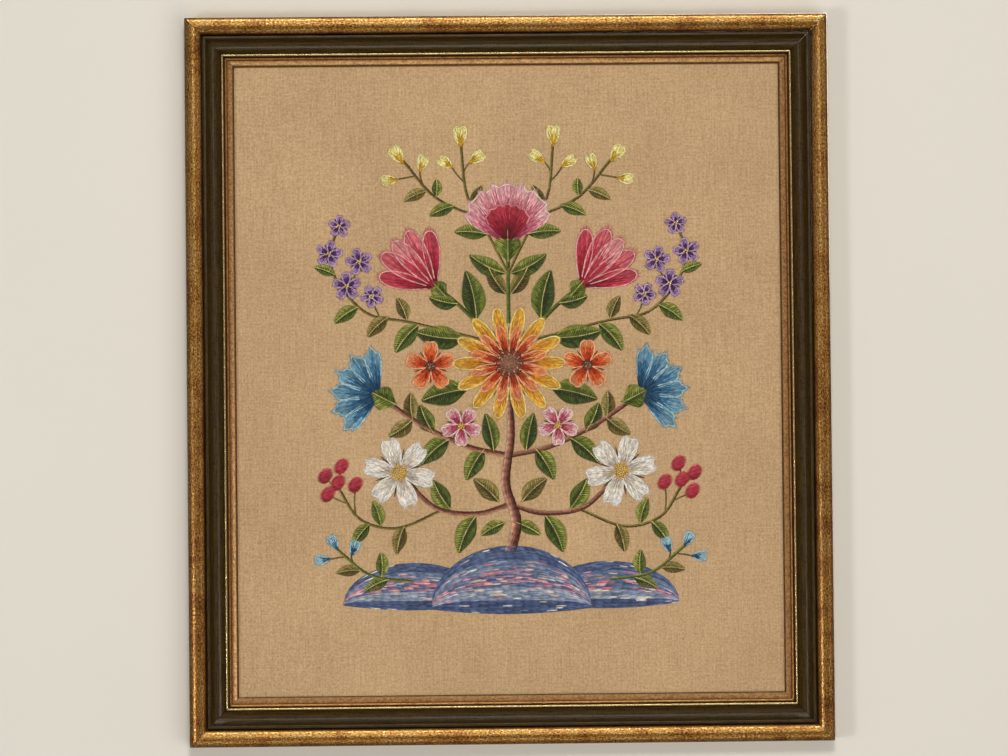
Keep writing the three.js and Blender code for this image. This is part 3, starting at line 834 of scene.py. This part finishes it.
class Needlework:
    """Works motifs as single stitches and knots, gathered under the name of the piece in hand."""

    def __init__(self, strand_mm, seed):
        self.strand = strand_mm
        self.rng = np.random.default_rng(seed)
        self.stitches = {}
        self.knots = []
        self.piece = None

    def begin(self, piece):
        """Takes up a piece; the stitches that follow belong to it."""
        self.piece = self.stitches.setdefault(piece, [])

    def about(self, spread):
        """A small chance difference, either way."""
        return self.rng.uniform(-spread, spread)

    def stitch(self, start, end, lift, colour, girth=1.0):
        """One straight stitch, as uneven as handwork is."""
        tone = 1 + self.about(UNEVEN["tone"])
        lift = lift + self.about(UNEVEN["lift_mm"])
        girth = girth * (1 + self.about(UNEVEN["girth"]))
        self.piece.append(Stitch(start, end, lift, girth, colour * tone))

    def knot(self, place, size, lift, colour):
        """One knot, a little off in tone."""
        self.knots.append(Knot(place, size, lift, colour * (1 + self.about(UNEVEN["knot_tone"]))))

    def stem(self, route, dye, rows, shades, lift, stitch, taper):
        """Rows of stem stitch side by side along a route."""
        points, ahead, progress = paced(smooth_line(route), stitch * STEM["pace"])
        aside = np.stack([-ahead[:, 1], ahead[:, 0]], axis=1)
        for row in range(rows):
            offset = (row - (rows - 1) / 2) * self.strand * PACKING["stem"]
            step = shades[0] + (shades[1] - shades[0]) * row / max(1, rows - 1)
            for i in range(len(points) - 1):
                narrow = 1 - (1 - taper) * progress[i]
                left = aside[i] * (offset * narrow + STEM["slant_mm"])
                right = aside[i + 1] * (offset * narrow - STEM["slant_mm"])
                start = points[i] + left - ahead[i] * STEM["behind_mm"]
                end = points[i + 1] + right + ahead[i + 1] * STEM["beyond_mm"]
                self.stitch(start, end, lift + 0.1 * (i % 2), shade(dye, step + self.about(0.2)))

    def petal(self, base, aim, length, spread, dye, shades, blunt=0.5, lift=0.6, inner=0.05, edge=None,
              notch=0.0, teeth=0, rows=3):
        """Long and short stitches that fan out from a base; spread is half the fan's angle.
        A small blunt gives a broad end, notch dips the end's middle, edge is the step of a pale outline."""
        base = np.array(base, float)

        def reach(turn):
            q = turn / spread
            dip = 1 - notch * math.exp(-(q / PETAL["notch_width"]) ** 2)
            far = length * max(0.0, math.cos(q * math.pi / 2)) ** blunt * dip
            if teeth:
                far *= 1 - PETAL["tooth"] * abs((q + 1) / 2 * teeth % 1 * 2 - 1)
            return far

        fan = 2 * math.radians(spread)
        rays = max(4, int(fan * length * 0.86 / (self.strand * PACKING["petal"])))
        for i in range(rays):
            turn = spread * (2 * (i + 0.5) / rays - 1)
            ray = heading(aim + turn)
            far = reach(turn)
            near = inner * length
            if far < length * PETAL["shortest"]:
                continue
            cuts = [near]
            for row in range(1, rows):
                stagger = PETAL["stagger"] if (i + row) % 2 else -PETAL["stagger"]
                cuts.append(near + (far - near) * (row / rows + self.about(PETAL["stray"]) + stagger))
            cuts.append(far)
            for row in range(rows):
                crowd = rays * self.strand * 0.8 / max(1e-6, fan * cuts[row + 1])
                if (i + row) % max(1, int(crowd)):
                    continue
                start = max(near * 0.8, cuts[row] - (PETAL["overlap_mm"] if row else 0))
                step = shades[0] + (shades[1] - shades[0]) * row / max(1, rows - 1)
                self.stitch(base + ray * start, base + ray * cuts[row + 1], lift + 0.12 * (rows - row) / rows,
                            shade(dye, step + self.about(0.25)))
        if edge is not None:
            rim = [base + heading(aim + turn) * reach(turn) for turn in np.linspace(-0.97, 0.97, 22) * spread]
            self.line(np.array(rim), pace=3.2, lift=lift + 0.3, colour=shade(dye, edge), girth=0.95)

    def line(self, route, pace, lift, colour, girth):
        """One row of short stitches along a route."""
        points, ahead, _ = paced(route, pace)
        for a, b, start, end in zip(points, points[1:], ahead, ahead[1:]):
            self.stitch(a - start * 0.5, b + end * 0.6, lift, colour, girth)

    def leaf(self, base, aim, length, width, dye, shades, bend=0.0, lift=0.35, rib=3.0):
        """Slanting stitches on each side of a bent midrib, which is worked over them in its own shade.
        Shorter ones lie over these, dark beside the rib and pale at the rim."""
        along = heading(aim)
        out = np.array([-along[1], along[0]])

        def rib_at(t):
            return np.array(base) + along * length * t + out * bend * length * t * (1 - t)

        def half(t):
            return width / 2 * math.sin(math.pi * t ** 0.85) ** 0.8

        count = max(6, int(length / (self.strand * PACKING["leaf"])))
        lean = 0.5 * width / length
        for side, step in zip((-1, 1), shades):
            for i in range(count):
                t = (i + 0.5) / count
                tip = t + lean * (1 - t)
                ahead = rib_at(min(1, tip + 0.02)) - rib_at(tip - 0.02)
                across = np.array([-ahead[1], ahead[0]]) / np.linalg.norm(ahead) * side
                if tip >= 1 or half(tip) < 0.8:
                    continue
                root, rim = rib_at(t), rib_at(tip) + across * half(tip)
                self.stitch(root, rim, lift, shade(dye, step + self.about(0.25)))
                between = root + (rim - root) * self.rng.uniform(*LEAF["reach"])
                if i % 2:
                    self.stitch(root, between, lift + 0.14, shade(dye, step + LEAF["dark"]), 0.9)
                else:
                    self.stitch(between, rim, lift + 0.12, shade(dye, step + LEAF["pale"]), 0.9)
        midrib = np.array([rib_at(t) for t in np.linspace(0.02, 0.93, 8)])
        self.line(midrib, pace=4.5, lift=lift + 0.35, colour=shade(dye, rib), girth=0.75)

    def cup(self, base, aim, length, width):
        """A green cup under a flower."""
        self.leaf(base, aim, length, width, **CUP)

    def rosette(self, centre, radius, petals, turn, dye, shades, fill=0.98, lift=0.6, gap_dye=None, **petal):
        """A ring of petals, every other one lifted over its neighbours, and a dark line between each two."""
        for k in range(petals):
            self.petal(centre, turn + 360 * k / petals, radius, 180 / petals * fill, dye, shades,
                       lift=lift + 0.08 * (k % 2), **petal)
        for k in range(petals):
            ray = heading(turn + 360 * (k + 0.5) / petals)
            gap = [np.array(centre) + ray * radius * share for share in (0.2, 0.6)]
            self.line(np.array(gap), pace=6.0, lift=lift + 0.35, colour=shade(gap_dye or dye, 0), girth=0.7)

    def knot_disc(self, centre, radius, dye, shades, size=1.9, lift=0.7):
        """Knots packed in a disc, darker towards its rim."""
        count = int((radius / size) ** 2 * KNOTS["packing"])
        for i in range(count):
            share = math.sqrt((i + 0.5) / count)
            step = shades[1] + (shades[0] - shades[1]) * share ** 2 + self.about(0.3)
            place = np.array(centre) + heading(KNOTS["golden_turn"] * i) * radius * share
            self.knot(place, size * self.rng.uniform(*KNOTS["sizes"]), lift, shade(dye, step))

    def berry(self, centre, radius, dye, lift=0.6):
        """A round of slanting stitches, paler towards the top."""
        count = int(2 * radius / (self.strand * PACKING["berry"]))
        for i in range(count):
            up = radius * (2 * (i + 0.5) / count - 1)
            half = math.sqrt(radius ** 2 - up ** 2)
            slant = np.array([half * 0.8, half * 0.25])
            middle = np.array(centre) + np.array([0, up])
            step = 0.9 + 1.3 * i / count + self.about(0.2)
            self.stitch(middle - slant, middle + slant, lift, shade(dye, step))

    def mound(self, centre, half_width, height, lift):
        """Arched rows of stitches over a low hill, in bands of slate blue with flecks of rose and white."""
        rows = int(height / (self.strand * PACKING["mound"]))
        x = np.linspace(-1, 1, 60)
        for row in range(rows):
            down = (row + 0.5) / rows
            band = MOUND_BANDS[int(down * len(MOUND_BANDS))]
            arch = height * (1 - down) * np.sqrt(1 - (x * 0.985) ** 2)
            sag = MOUND_ROW["sag_mm"] * (x ** 2 - 1) * down
            route = np.stack([x * half_width, arch + sag], axis=1) + np.array(centre)
            points, ahead, _ = paced(route, MOUND_ROW["pace_mm"])
            slide = self.rng.uniform(0, 0.5)
            for k in range(len(points) - 1):
                after = points[min(k + 2, len(points) - 1)]
                start = points[k] + (points[k + 1] - points[k]) * slide - ahead[k] * 0.5
                end = points[k + 1] + (after - points[k + 1]) * slide + ahead[k] * 0.5
                colour = shade("slate", band.step + self.about(0.6))
                fleck = self.rng.random()
                if fleck < band.rose_share:
                    colour = shade("rose", 2 + self.about(0.6))
                elif fleck < band.rose_share + band.pale_share:
                    colour = shade("white", 1.6 + self.about(0.6))
                self.stitch(start, end, lift + 0.05 * (k % 2), colour)


def work_tree(work):
    """Works the whole design, from the ground up to the flowers."""
    work.begin("mound_stitches")
    for mirror in (-1, 1):
        x, z = SIDE_MOUND["centre"]
        work.mound(**{**SIDE_MOUND, "centre": (mirror * x, z)})
    work.mound(**MOUND)
    work.begin("stem_stitches")
    for row in TRUNK:
        work.stem(*row)
    for mirror in (-1, 1):
        for row in BRANCHES:
            work.stem([(mirror * x, z) for x, z in row.route], *row[1:])
        for row in STALKS:
            middle = ((row.start[0] + row.end[0]) / 2 + STALK_BEND, (row.start[1] + row.end[1]) / 2)
            work.stem([(mirror * x, z) for x, z in (row.start, middle, row.end)], **STALK)
    for mirror in (-1, 1):
        work_half(work, mirror)
    work.begin("crown_stitches")
    for row in CARNATION_PETALS:
        work.petal(CARNATION_BASE, UPWARD, **CARNATION_PETAL, **row._asdict())
    work.cup(**CARNATION_CUP)
    for row in CENTRE_RINGS:
        work.rosette(CENTRE, **row._asdict())
    work.knot_disc(CENTRE, **CENTRE_EYE)


def work_half(work, mirror):
    """One half's leaves and flowers; mirror is 1 on the right and -1 on the left."""
    def at(x, z):
        return mirror * x, z

    def aim(degrees):
        return degrees if mirror > 0 else 180 - degrees

    work.begin("leaf_stitches_right" if mirror > 0 else "leaf_stitches_left")
    for row in LEAVES:
        work.leaf(at(row.x, row.z), aim(row.aim), row.length, row.width, row.dye, row.shades[::mirror],
                  row.bend * mirror)
    work.begin("blossom_stitches")
    for row in BLOSSOMS:
        centre = at(row.x, row.z)
        style = BLOSSOM_STYLES[row.dye]
        work.rosette(centre, row.radius, style.petals, aim(row.turn), row.dye, style.shades, lift=style.lift,
                     inner=0.2, edge=style.edge, notch=style.notch, rows=style.rows, gap_dye=style.gap_dye)
        work.knot_disc(centre, style.eye, style.eye_dye, style.eye_shades)
    work.begin("flower_stitches")
    for k, offset in enumerate(CORNFLOWER["offsets"]):
        work.petal(at(*CORNFLOWER["base"]), aim(CORNFLOWER["aim"] + offset), lift=CORNFLOWER["lifts"][k % 2],
                   **CORNFLOWER_PETAL)
    for row in TULIP_PETALS:
        work.petal(at(*TULIP_BASE), aim(row.aim), row.length, shades=row.shades, lift=row.lift, **TULIP_PETAL)
    for row in CUPS:
        work.cup(at(row.x, row.z), aim(row.aim), row.length, row.width)
    for row in BELLS:
        work.petal(at(row.x, row.z), aim(row.aim), row.length, dye=row.dye, **BELL_PETAL)
    for x, z in BERRIES:
        work.berry(at(x, z), BERRY_RADIUS, "crimson")


def marks(name, places, values, colours):
    """A mesh of bare points with named values and a dye colour on each, for nodes to lay wool on."""
    mesh = bpy.data.meshes.new(name)
    mesh.from_pydata((np.array(places) * MM).tolist(), [], [])
    for key, numbers in values.items():
        mesh.attributes.new(key, "FLOAT", "POINT").data.foreach_set("value", np.array(numbers, np.float32))
    dye = mesh.attributes.new("dye", "FLOAT_COLOR", "POINT")
    with_alpha = np.column_stack([np.clip(colours, 0, 1), np.ones(len(colours))])
    dye.data.foreach_set("color", with_alpha.astype(np.float32).ravel())
    return placed(name, mesh)


def new_tree(name, inputs):
    """A geometry node tree with these inputs beside its marks and material; returns it and their sockets."""
    tree = bpy.data.node_groups.new(name, "GeometryNodeTree")
    for label, kind in {"Geometry": "Geometry", **inputs, "Material": "Material"}.items():
        tree.interface.new_socket(label, in_out="INPUT", socket_type=f"NodeSocket{kind}")
    tree.interface.new_socket("Geometry", in_out="OUTPUT", socket_type="NodeSocketGeometry")
    return tree, node(tree, "NodeGroupInput").outputs


def with_factor(tree, curve, name):
    """Stores on a curve how far along each point is, under a name that the wool's material reads."""
    share = node(tree, "GeometryNodeSplineParameter")
    return node(tree, "GeometryNodeStoreNamedAttribute", {"Geometry": curve, "Name": name, "Value": share},
                data_type="FLOAT", domain="POINT")


def mark_values(tree, *names):
    """What each mark carries under these names."""
    kind = "GeometryNodeInputNamedAttribute"
    return [node(tree, kind, {"Name": name}, data_type="FLOAT") for name in names]


def set_on_marks(tree, given, shape, size, turn):
    """Ends a tree: sets a shape of wool on each mark, at its own size and turn, as one smooth mesh."""
    euler = node(tree, "ShaderNodeCombineXYZ", {"Y": turn})
    rotation = node(tree, "FunctionNodeEulerToRotation", {"Euler": euler})
    laid = node(tree, "GeometryNodeInstanceOnPoints",
                {"Points": given["Geometry"], "Instance": shape, "Rotation": rotation, "Scale": size})
    realized = node(tree, "GeometryNodeRealizeInstances", {"Geometry": laid})
    smooth = node(tree, "GeometryNodeSetShadeSmooth", {"Geometry": realized})
    finished = node(tree, "GeometryNodeSetMaterial", {"Geometry": smooth, "Material": given["Material"]})
    node(tree, "NodeGroupOutput", {"Geometry": finished})
    return tree


def stitch_tree():
    """Nodes that lay one strand of wool on each mark: straight on top, its ends dipping into the linen."""
    tree, given = new_tree("Lay strands", {
        "Strand Width": "Float", "Strand Loft": "Float", "Rings": "Int", "Sides": "Int",
    })
    line = node(tree, "GeometryNodeCurvePrimitiveLine", {"Start": (-0.5, 0.0, 0.0), "End": (0.5, 0.0, 0.0)})
    rings = node(tree, "GeometryNodeResampleCurve", {"Curve": line, "Count": given["Rings"]})
    along = node(tree, "GeometryNodeSplineParameter")
    spaced = node(tree, "ShaderNodeMapRange", {"Value": along, "To Min": -0.5, "To Max": 0.5},
                  interpolation_type="SMOOTHERSTEP")
    from_middle = node(tree, "ShaderNodeMath", {0: along, 1: 0.5}, operation="SUBTRACT")
    end_share = node(tree, "ShaderNodeMath", {0: from_middle}, operation="ABSOLUTE")
    at_end = node(tree, "ShaderNodeMapRange", {"Value": end_share, "From Min": 0.2, "From Max": 0.5})
    dip = node(tree, "ShaderNodeMath", {0: at_end, 1: 0.55}, operation="MULTIPLY")
    place = node(tree, "ShaderNodeCombineXYZ", {"X": spaced, "Y": dip})
    bowed = node(tree, "GeometryNodeSetPosition",
                 {"Geometry": with_factor(tree, rings, "along"), "Position": place})
    radius = node(tree, "ShaderNodeMapRange", {"Value": at_end, "To Min": 0.5, "To Max": 0.26})
    circle = node(tree, "GeometryNodeCurvePrimitiveCircle", {"Resolution": given["Sides"], "Radius": 1.0})
    strand = node(tree, "GeometryNodeCurveToMesh", {
        "Curve": bowed, "Profile Curve": with_factor(tree, circle, "around"), "Scale": radius,
        "Fill Caps": True,
    })
    span, girth, turn = mark_values(tree, "span", "girth", "turn")
    width = node(tree, "ShaderNodeMath", {0: given["Strand Width"], 1: girth}, operation="MULTIPLY")
    loft = node(tree, "ShaderNodeMath", {0: given["Strand Loft"], 1: girth}, operation="MULTIPLY")
    size = node(tree, "ShaderNodeCombineXYZ", {"X": span, "Y": loft, "Z": width})
    return set_on_marks(tree, given, strand, size, turn)


def knot_tree():
    """Nodes that wind one small coil of wool on each mark."""
    tree, given = new_tree("Wind knots", {"Turns": "Float", "Steps": "Int", "Sides": "Int"})
    coil = node(tree, "GeometryNodeCurveSpiral", {
        "Resolution": given["Steps"], "Rotations": given["Turns"],
        "Start Radius": 0.32, "End Radius": 0.10, "Height": 0.42,
    })
    circle = node(tree, "GeometryNodeCurvePrimitiveCircle", {"Resolution": given["Sides"], "Radius": 0.2})
    wound = node(tree, "GeometryNodeCurveToMesh", {
        "Curve": with_factor(tree, coil, "along"), "Profile Curve": with_factor(tree, circle, "around"),
        "Fill Caps": True,
    })
    upright = node(tree, "GeometryNodeTransform", {"Geometry": wound, "Rotation": (math.pi / 2, 0.0, 0.0)})
    span, turn = mark_values(tree, "span", "turn")
    size = node(tree, "ShaderNodeCombineXYZ", {"X": span, "Y": span, "Z": span})
    return set_on_marks(tree, given, upright, size, turn)


def grow(piece, tree, inputs):
    """Runs a node tree on a piece with the given inputs and leaves its result as a plain mesh."""
    modifier = piece.modifiers.new(tree.name, "NODES")
    modifier.node_group = tree
    for item in tree.interface.items_tree:
        if item.in_out == "INPUT" and item.name in inputs:
            modifier[item.identifier] = inputs[item.name]
    evaluated = piece.evaluated_get(bpy.context.evaluated_depsgraph_get())
    mesh = bpy.data.meshes.new_from_object(evaluated)
    piece.modifiers.remove(modifier)
    if not mesh.polygons:
        raise RuntimeError(f"{piece.name}: the nodes made no faces")
    mesh.name = piece.name
    piece.data = mesh
    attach(piece, BODY)


def crewel_wool():
    """Two-ply wool yarn in plant dyes: matt with a soft bloom of fibres, its two plies twisted together, with
    painted shade in the twist's grooves and painted highlight on its crowns.
    """
    made = bpy.data.materials.get("crewel_wool")
    if made:
        return made
    material, tree, shader = new_material("crewel_wool")
    dye = node(tree, "ShaderNodeAttribute", attribute_name="dye").outputs["Color"]
    along, around, span = (
        node(tree, "ShaderNodeAttribute", attribute_name=name).outputs["Fac"]
        for name in ("along", "around", "span")
    )
    run = node(tree, "ShaderNodeMath", {0: along, 1: span}, operation="MULTIPLY")
    turns = node(tree, "ShaderNodeMath", {0: run, 1: per_mm(2.2), 2: around}, operation="MULTIPLY_ADD")
    angle = node(tree, "ShaderNodeMath", {0: turns, 1: 2 * math.pi}, operation="MULTIPLY")
    ply = node(tree, "ShaderNodeMath", {0: angle}, operation="SINE")
    place = node(tree, "ShaderNodeTexCoord").outputs["Object"]
    fibre = node(tree, "ShaderNodeTexNoise", {"Vector": place, "Scale": per_mm(0.9), "Detail": 3.0})
    relief = node(tree, "ShaderNodeMath", {0: ply, 1: 0.5, 2: fibre}, operation="MULTIPLY_ADD")
    # The tone paints shade in the grooves of the twist and highlight on its crowns; the fibre noise adds
    # random tone.
    tone = node(tree, "ShaderNodeMapRange",
                {"Value": relief, "From Min": -0.1, "From Max": 1.1, "To Min": 0.62, "To Max": 1.2})
    colour = node(tree, "ShaderNodeVectorMath", {0: dye, "Scale": tone}, operation="SCALE")
    bump = node(tree, "ShaderNodeBump", {"Height": relief, "Strength": 0.5, "Distance": 0.2 * MM})
    fill(tree, shader, {"Base Color": colour, "Roughness": 0.8, "Normal": bump, "Specular IOR Level": 0.3,
                        "Sheen Weight": 0.25, "Sheen Roughness": 0.5})
    return material


STRAND_RINGS = 4
STRAND_SIDES = 5
KNOT = {"Turns": 1.8, "Steps": 14, "Sides": 5}
KNOTS_PIECE = "knots"


def lay_stitches(name, stitches, settings, tree, material):
    """One piece of straight stitches on the linen's face."""
    start = np.array([s.start for s in stitches])
    end = np.array([s.end for s in stitches])
    middle = (start + end) / 2
    across = end - start
    height = LINEN_FACE_MM + np.array([s.lift for s in stitches])
    places = np.stack([middle[:, 0], -height, middle[:, 1] + CENTRE_Z_MM], axis=1)
    values = {
        "span": np.linalg.norm(across, axis=1) * MM,
        "turn": -np.arctan2(across[:, 1], across[:, 0]),
        "girth": [s.girth for s in stitches],
    }
    piece = marks(name, places, values, [s.colour for s in stitches])
    grow(piece, tree, {
        "Strand Width": settings.strand,
        "Strand Loft": settings.loft,
        "Rings": STRAND_RINGS,
        "Sides": STRAND_SIDES,
        "Material": material,
    })


def wind_knots(name, knots, rng, tree, material):
    """One piece of knots on the linen's face."""
    places = [(k.place[0], -(LINEN_FACE_MM + k.lift), k.place[1] + CENTRE_Z_MM) for k in knots]
    values = {"span": [k.size * MM for k in knots], "turn": rng.uniform(0, 2 * math.pi, len(knots))}
    piece = marks(name, places, values, [k.colour for k in knots])
    grow(piece, tree, {**KNOT, "Material": material})


# Operators.

class GiltRails(bpy.types.Operator):
    """Fits the four gilt rails of the outer bead"""

    bl_idname = "embroidery.gilt_rails"
    bl_label = "Fit gilt rails"

    def execute(self, context):
        finish = antique_gold_leaf(context.scene.moulding)
        fit_moulding("gilt_rail", gilt_section(), finish, seed=11)
        return {"FINISHED"}


class DarkRails(bpy.types.Operator):
    """Fits the four dark rails with their hollow"""

    bl_idname = "embroidery.dark_rails"
    bl_label = "Fit dark rails"

    def execute(self, context):
        finish = olive_black_paint(context.scene.moulding)
        fit_moulding("dark_rail", dark_section(), finish, seed=12)
        return {"FINISHED"}


class SlipRails(bpy.types.Operator):
    """Fits the four rails of the gilt slip"""

    bl_idname = "embroidery.slip_rails"
    bl_label = "Fit slip rails"

    def execute(self, context):
        finish = bronze_gilt(context.scene.moulding)
        fit_moulding("slip_rail", slip_section(), finish, seed=13)
        return {"FINISHED"}


class BackingBoard(bpy.types.Operator):
    """Fits the hardboard behind the linen"""

    bl_idname = "embroidery.backing_board"
    bl_label = "Fit backing board"

    def execute(self, context):
        width = (BOARD_HIGH.x - BOARD_LOW.x) / MM
        height = (BOARD_HIGH.z - BOARD_LOW.z) / MM
        board = thin_sheet("backing_board_finish", width, height, -BOARD_LOW.y / MM, -BOARD_HIGH.y / MM, 0.0,
                           pressed_hardboard())
        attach(board, BODY)
        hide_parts("backing_board")
        return {"FINISHED"}


def worked_design(wool):
    """The whole stitched design, the same each time for one seed."""
    work = Needlework(wool.strand / MM, wool.seed)
    work_tree(work)
    return work


class WoolStitches(bpy.types.Operator):
    """Works the straight stitches of the mounds, stems, leaves and flowers"""

    bl_idname = "embroidery.wool_stitches"
    bl_label = "Work the stitches"

    def execute(self, context):
        wool = context.scene.wool
        strands = stitch_tree()
        yarn = crewel_wool()
        for name, stitches in worked_design(wool).stitches.items():
            lay_stitches(name, stitches, wool, strands, yarn)
        return {"FINISHED"}


class FrenchKnots(bpy.types.Operator):
    """Winds the knots in the eyes of the flowers"""

    bl_idname = "embroidery.french_knots"
    bl_label = "Wind the knots"

    def execute(self, context):
        work = worked_design(context.scene.wool)
        wind_knots(KNOTS_PIECE, work.knots, work.rng, knot_tree(), crewel_wool())
        return {"FINISHED"}


class StretchedLinen(bpy.types.Operator):
    """Stretches the linen over its board, with the stitches and knots on its face"""

    bl_idname = "embroidery.stretched_linen"
    bl_label = "Stretch the linen"

    def execute(self, context):
        cloth = context.scene.linen
        work = worked_design(context.scene.wool)
        worked = [bpy.data.objects.get(name) for name in (*work.stitches, KNOTS_PIECE)]
        if None in worked:
            raise RuntimeError("work the stitches and wind the knots before the linen is stretched")
        linen = thin_sheet("linen_cloth", LINEN_WIDTH_MM, LINEN_HEIGHT_MM, LINEN_FACE_MM, LINEN_BACK_MM,
                           cloth.slack / MM, unbleached_linen(cloth))
        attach(linen, BODY)
        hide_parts("linen_panel")
        return {"FINISHED"}


def matt_paint(name, colour):
    """Flat emulsion paint with a faint roller texture, seen from its front only."""
    material, tree, shader = new_material(name)
    place = node(tree, "ShaderNodeTexCoord").outputs["Object"]
    roller = node(tree, "ShaderNodeTexNoise", {"Vector": place, "Scale": per_mm(4), "Detail": 3.0})
    bump = node(tree, "ShaderNodeBump", {"Height": roller, "Strength": 0.1, "Distance": 0.3 * MM})
    cloud = node(tree, "ShaderNodeTexNoise", {"Vector": place, "Scale": per_mm(250), "Detail": 2.0})
    uneven = node(tree, "ShaderNodeMapRange", {"Value": cloud, "To Min": 0.98, "To Max": 1.02})
    tone = node(tree, "ShaderNodeVectorMath", {0: colour, "Scale": uneven}, operation="SCALE")
    fill(tree, shader, {"Base Color": tone, "Roughness": 0.85, "Normal": bump})
    behind = node(tree, "ShaderNodeNewGeometry").outputs["Backfacing"]
    clear = node(tree, "ShaderNodeBsdfTransparent")
    seen = node(tree, "ShaderNodeMixShader", {0: behind, 1: shader, 2: clear})
    output = next(n for n in tree.nodes if n.bl_idname == "ShaderNodeOutputMaterial")
    fill(tree, output, {"Surface": seen})
    return material


def backdrop(name, corners, material):
    """A plane of the stage that the camera sees and the object's light and reflections do not."""
    mesh = bpy.data.meshes.new(name)
    mesh.from_pydata(corners, [], [tuple(range(len(corners)))])
    mesh.materials.append(material)
    plane = placed(name, mesh)
    plane.visible_shadow = False
    plane.visible_diffuse = False
    plane.visible_glossy = False


# Places are in metres from the middle of the linen's face; shines says what a light is for: matt surfaces,
# gloss or both.
LIGHTS = table("name place size power colour shines", [
    ("lamp", (0.05, -2.6, 1.1), (0.5, 0.5), 28.0, "fff8ee", "matt"),
    ("lamp_glint", (0.05, -2.6, 1.1), (0.5, 0.5), 18.0, "fbfff2", "gloss"),
    ("high_lamp", (0.0, -1.6, 1.5), (1.0, 0.4), 4.0, "fbfff2", "gloss"),
    ("window", (-1.9, -2.5, -0.55), (0.5, 0.5), 20.0, "fffaf4", "matt"),
    ("window_glint", (-2.2, -2.3, -0.75), (0.4, 0.4), 14.0, "fffaf4", "gloss"),
    ("room_fill", (1.5, -2.8, -1.1), (2.2, 2.2), 33.5, "fff6ea", "matt"),
    ("table_bounce", (0.0, -0.6, -0.85), (1.2, 0.5), 1.1, "fff6dc", "gloss"),
    ("right_wall", (2.2, -1.2, 0.0), (1.5, 2.0), 3.4, "fff2e2", "gloss"),
    ("ceiling", (-0.1, -0.55, 2.1), (2.0, 0.6), 22.0, "fbfff2", "gloss"),
    ("back_fill", (0.8, 2.0, 0.9), (1.5, 1.5), 36.0, "ffffff", "both"),
])


def facing(direction):
    """Turn that points a lamp's or camera's own view along a direction."""
    return direction.to_track_quat("-Z", "Y")


def area_light(light, centre):
    """A soft light that faces the middle of the linen."""
    data = bpy.data.lights.new(light.name, "AREA")
    data.shape = "RECTANGLE"
    data.size, data.size_y = light.size
    data.energy = light.power
    data.color = linear(light.colour)
    lamp = placed(light.name, data)
    lamp.location = centre + Vector(light.place)
    lamp.rotation_euler = facing(-Vector(light.place)).to_euler()
    lamp.visible_camera = False
    lamp.visible_diffuse = light.shines != "gloss"
    lamp.visible_glossy = light.shines != "matt"


# The room, in metres: the wall stands a hair behind the frame, and the floor below its middle.
WALL_GAP = 0.6 * MM
FLOOR_DROP = 1.25
ROOM_REACH = 4.0
ROOM_LIGHT = {"Color": opaque("f6efe8"), "Strength": 0.2}
SENSOR_WIDTH_MM = 36.0
# Where the camera looks, counted right and up from the middle of the linen.
VIEW_OFFSET_MM = (-4.5, 1.2)


class Stage(bpy.types.Operator):
    """Sets the pale wall and floor, the soft lights and the camera"""

    bl_idname = "embroidery.stage"
    bl_label = "Set the stage"

    def execute(self, context):
        scene = context.scene
        settings = scene.stage
        centre = Vector((0.0, -LINEN_FACE_MM, CENTRE_Z_MM)) * MM
        low, far = centre.z - FLOOR_DROP, ROOM_REACH
        wall = [(-far, WALL_GAP, low), (far, WALL_GAP, low), (far, WALL_GAP, far), (-far, WALL_GAP, far)]
        floor = [(-far, -far, low), (far, -far, low), (far, far, low), (-far, far, low)]
        backdrop("wall", wall, matt_paint("wall_paint", settings.wall))
        backdrop("floor", floor, matt_paint("floor_paint", settings.floor))
        for light in LIGHTS:
            area_light(light, centre)
        world = bpy.data.worlds.new("room_light")
        world.use_nodes = True
        fill(world.node_tree, world.node_tree.nodes["Background"], ROOM_LIGHT)
        scene.world = world
        scene.view_settings.view_transform = "Standard"

        data = bpy.data.cameras.new("camera")
        data.sensor_width = SENSOR_WIDTH_MM
        data.lens = data.sensor_width * settings.view_distance / settings.view_width
        camera = placed("camera", data)
        target = centre + Vector((VIEW_OFFSET_MM[0], 0.0, VIEW_OFFSET_MM[1])) * MM
        sight = Vector((math.tan(settings.sideways), 1.0, math.tan(settings.below))).normalized()
        camera.location = target - sight * settings.view_distance
        roll = Quaternion((0.0, 0.0, 1.0), -settings.roll)
        camera.rotation_euler = (facing(sight) @ roll).to_euler()
        scene.camera = camera
        return {"FINISHED"}


class EmbroideryPanel(bpy.types.Panel):
    """Lists the steps that build the framed linen"""

    bl_idname = "VIEW3D_PT_embroidery"
    bl_label = "Framed linen"
    bl_space_type = "VIEW_3D"
    bl_region_type = "UI"
    bl_category = "Embroidery"

    def draw(self, context):
        for step in STEPS:
            self.layout.operator(step.bl_idname)
        for group in SETTINGS:
            values = getattr(context.scene, group)
            for name in values.bl_rna.properties.keys():
                if name not in ("rna_type", "name"):
                    self.layout.prop(values, name)


SETTINGS = {
    "moulding": MouldingSettings,
    "linen": LinenSettings,
    "wool": WoolSettings,
    "stage": StageSettings,
}
STEPS = (Stage, GiltRails, DarkRails, SlipRails, BackingBoard, WoolStitches, FrenchKnots, StretchedLinen)


def register():
    """Adds the settings, the steps and their panel."""
    for cls in (*SETTINGS.values(), *STEPS, EmbroideryPanel):
        bpy.utils.register_class(cls)
    for name, cls in SETTINGS.items():
        setattr(bpy.types.Scene, name, bpy.props.PointerProperty(type=cls))


def unregister():
    """Takes them away again."""
    for name in SETTINGS:
        delattr(bpy.types.Scene, name)
    for cls in reversed((*SETTINGS.values(), *STEPS, EmbroideryPanel)):
        bpy.utils.unregister_class(cls)


def main():
    """Runs every step."""
    register()
    for step in STEPS:
        group, name = step.bl_idname.split(".")
        getattr(getattr(bpy.ops, group), name)()


if __name__ == "__main__":
    main()
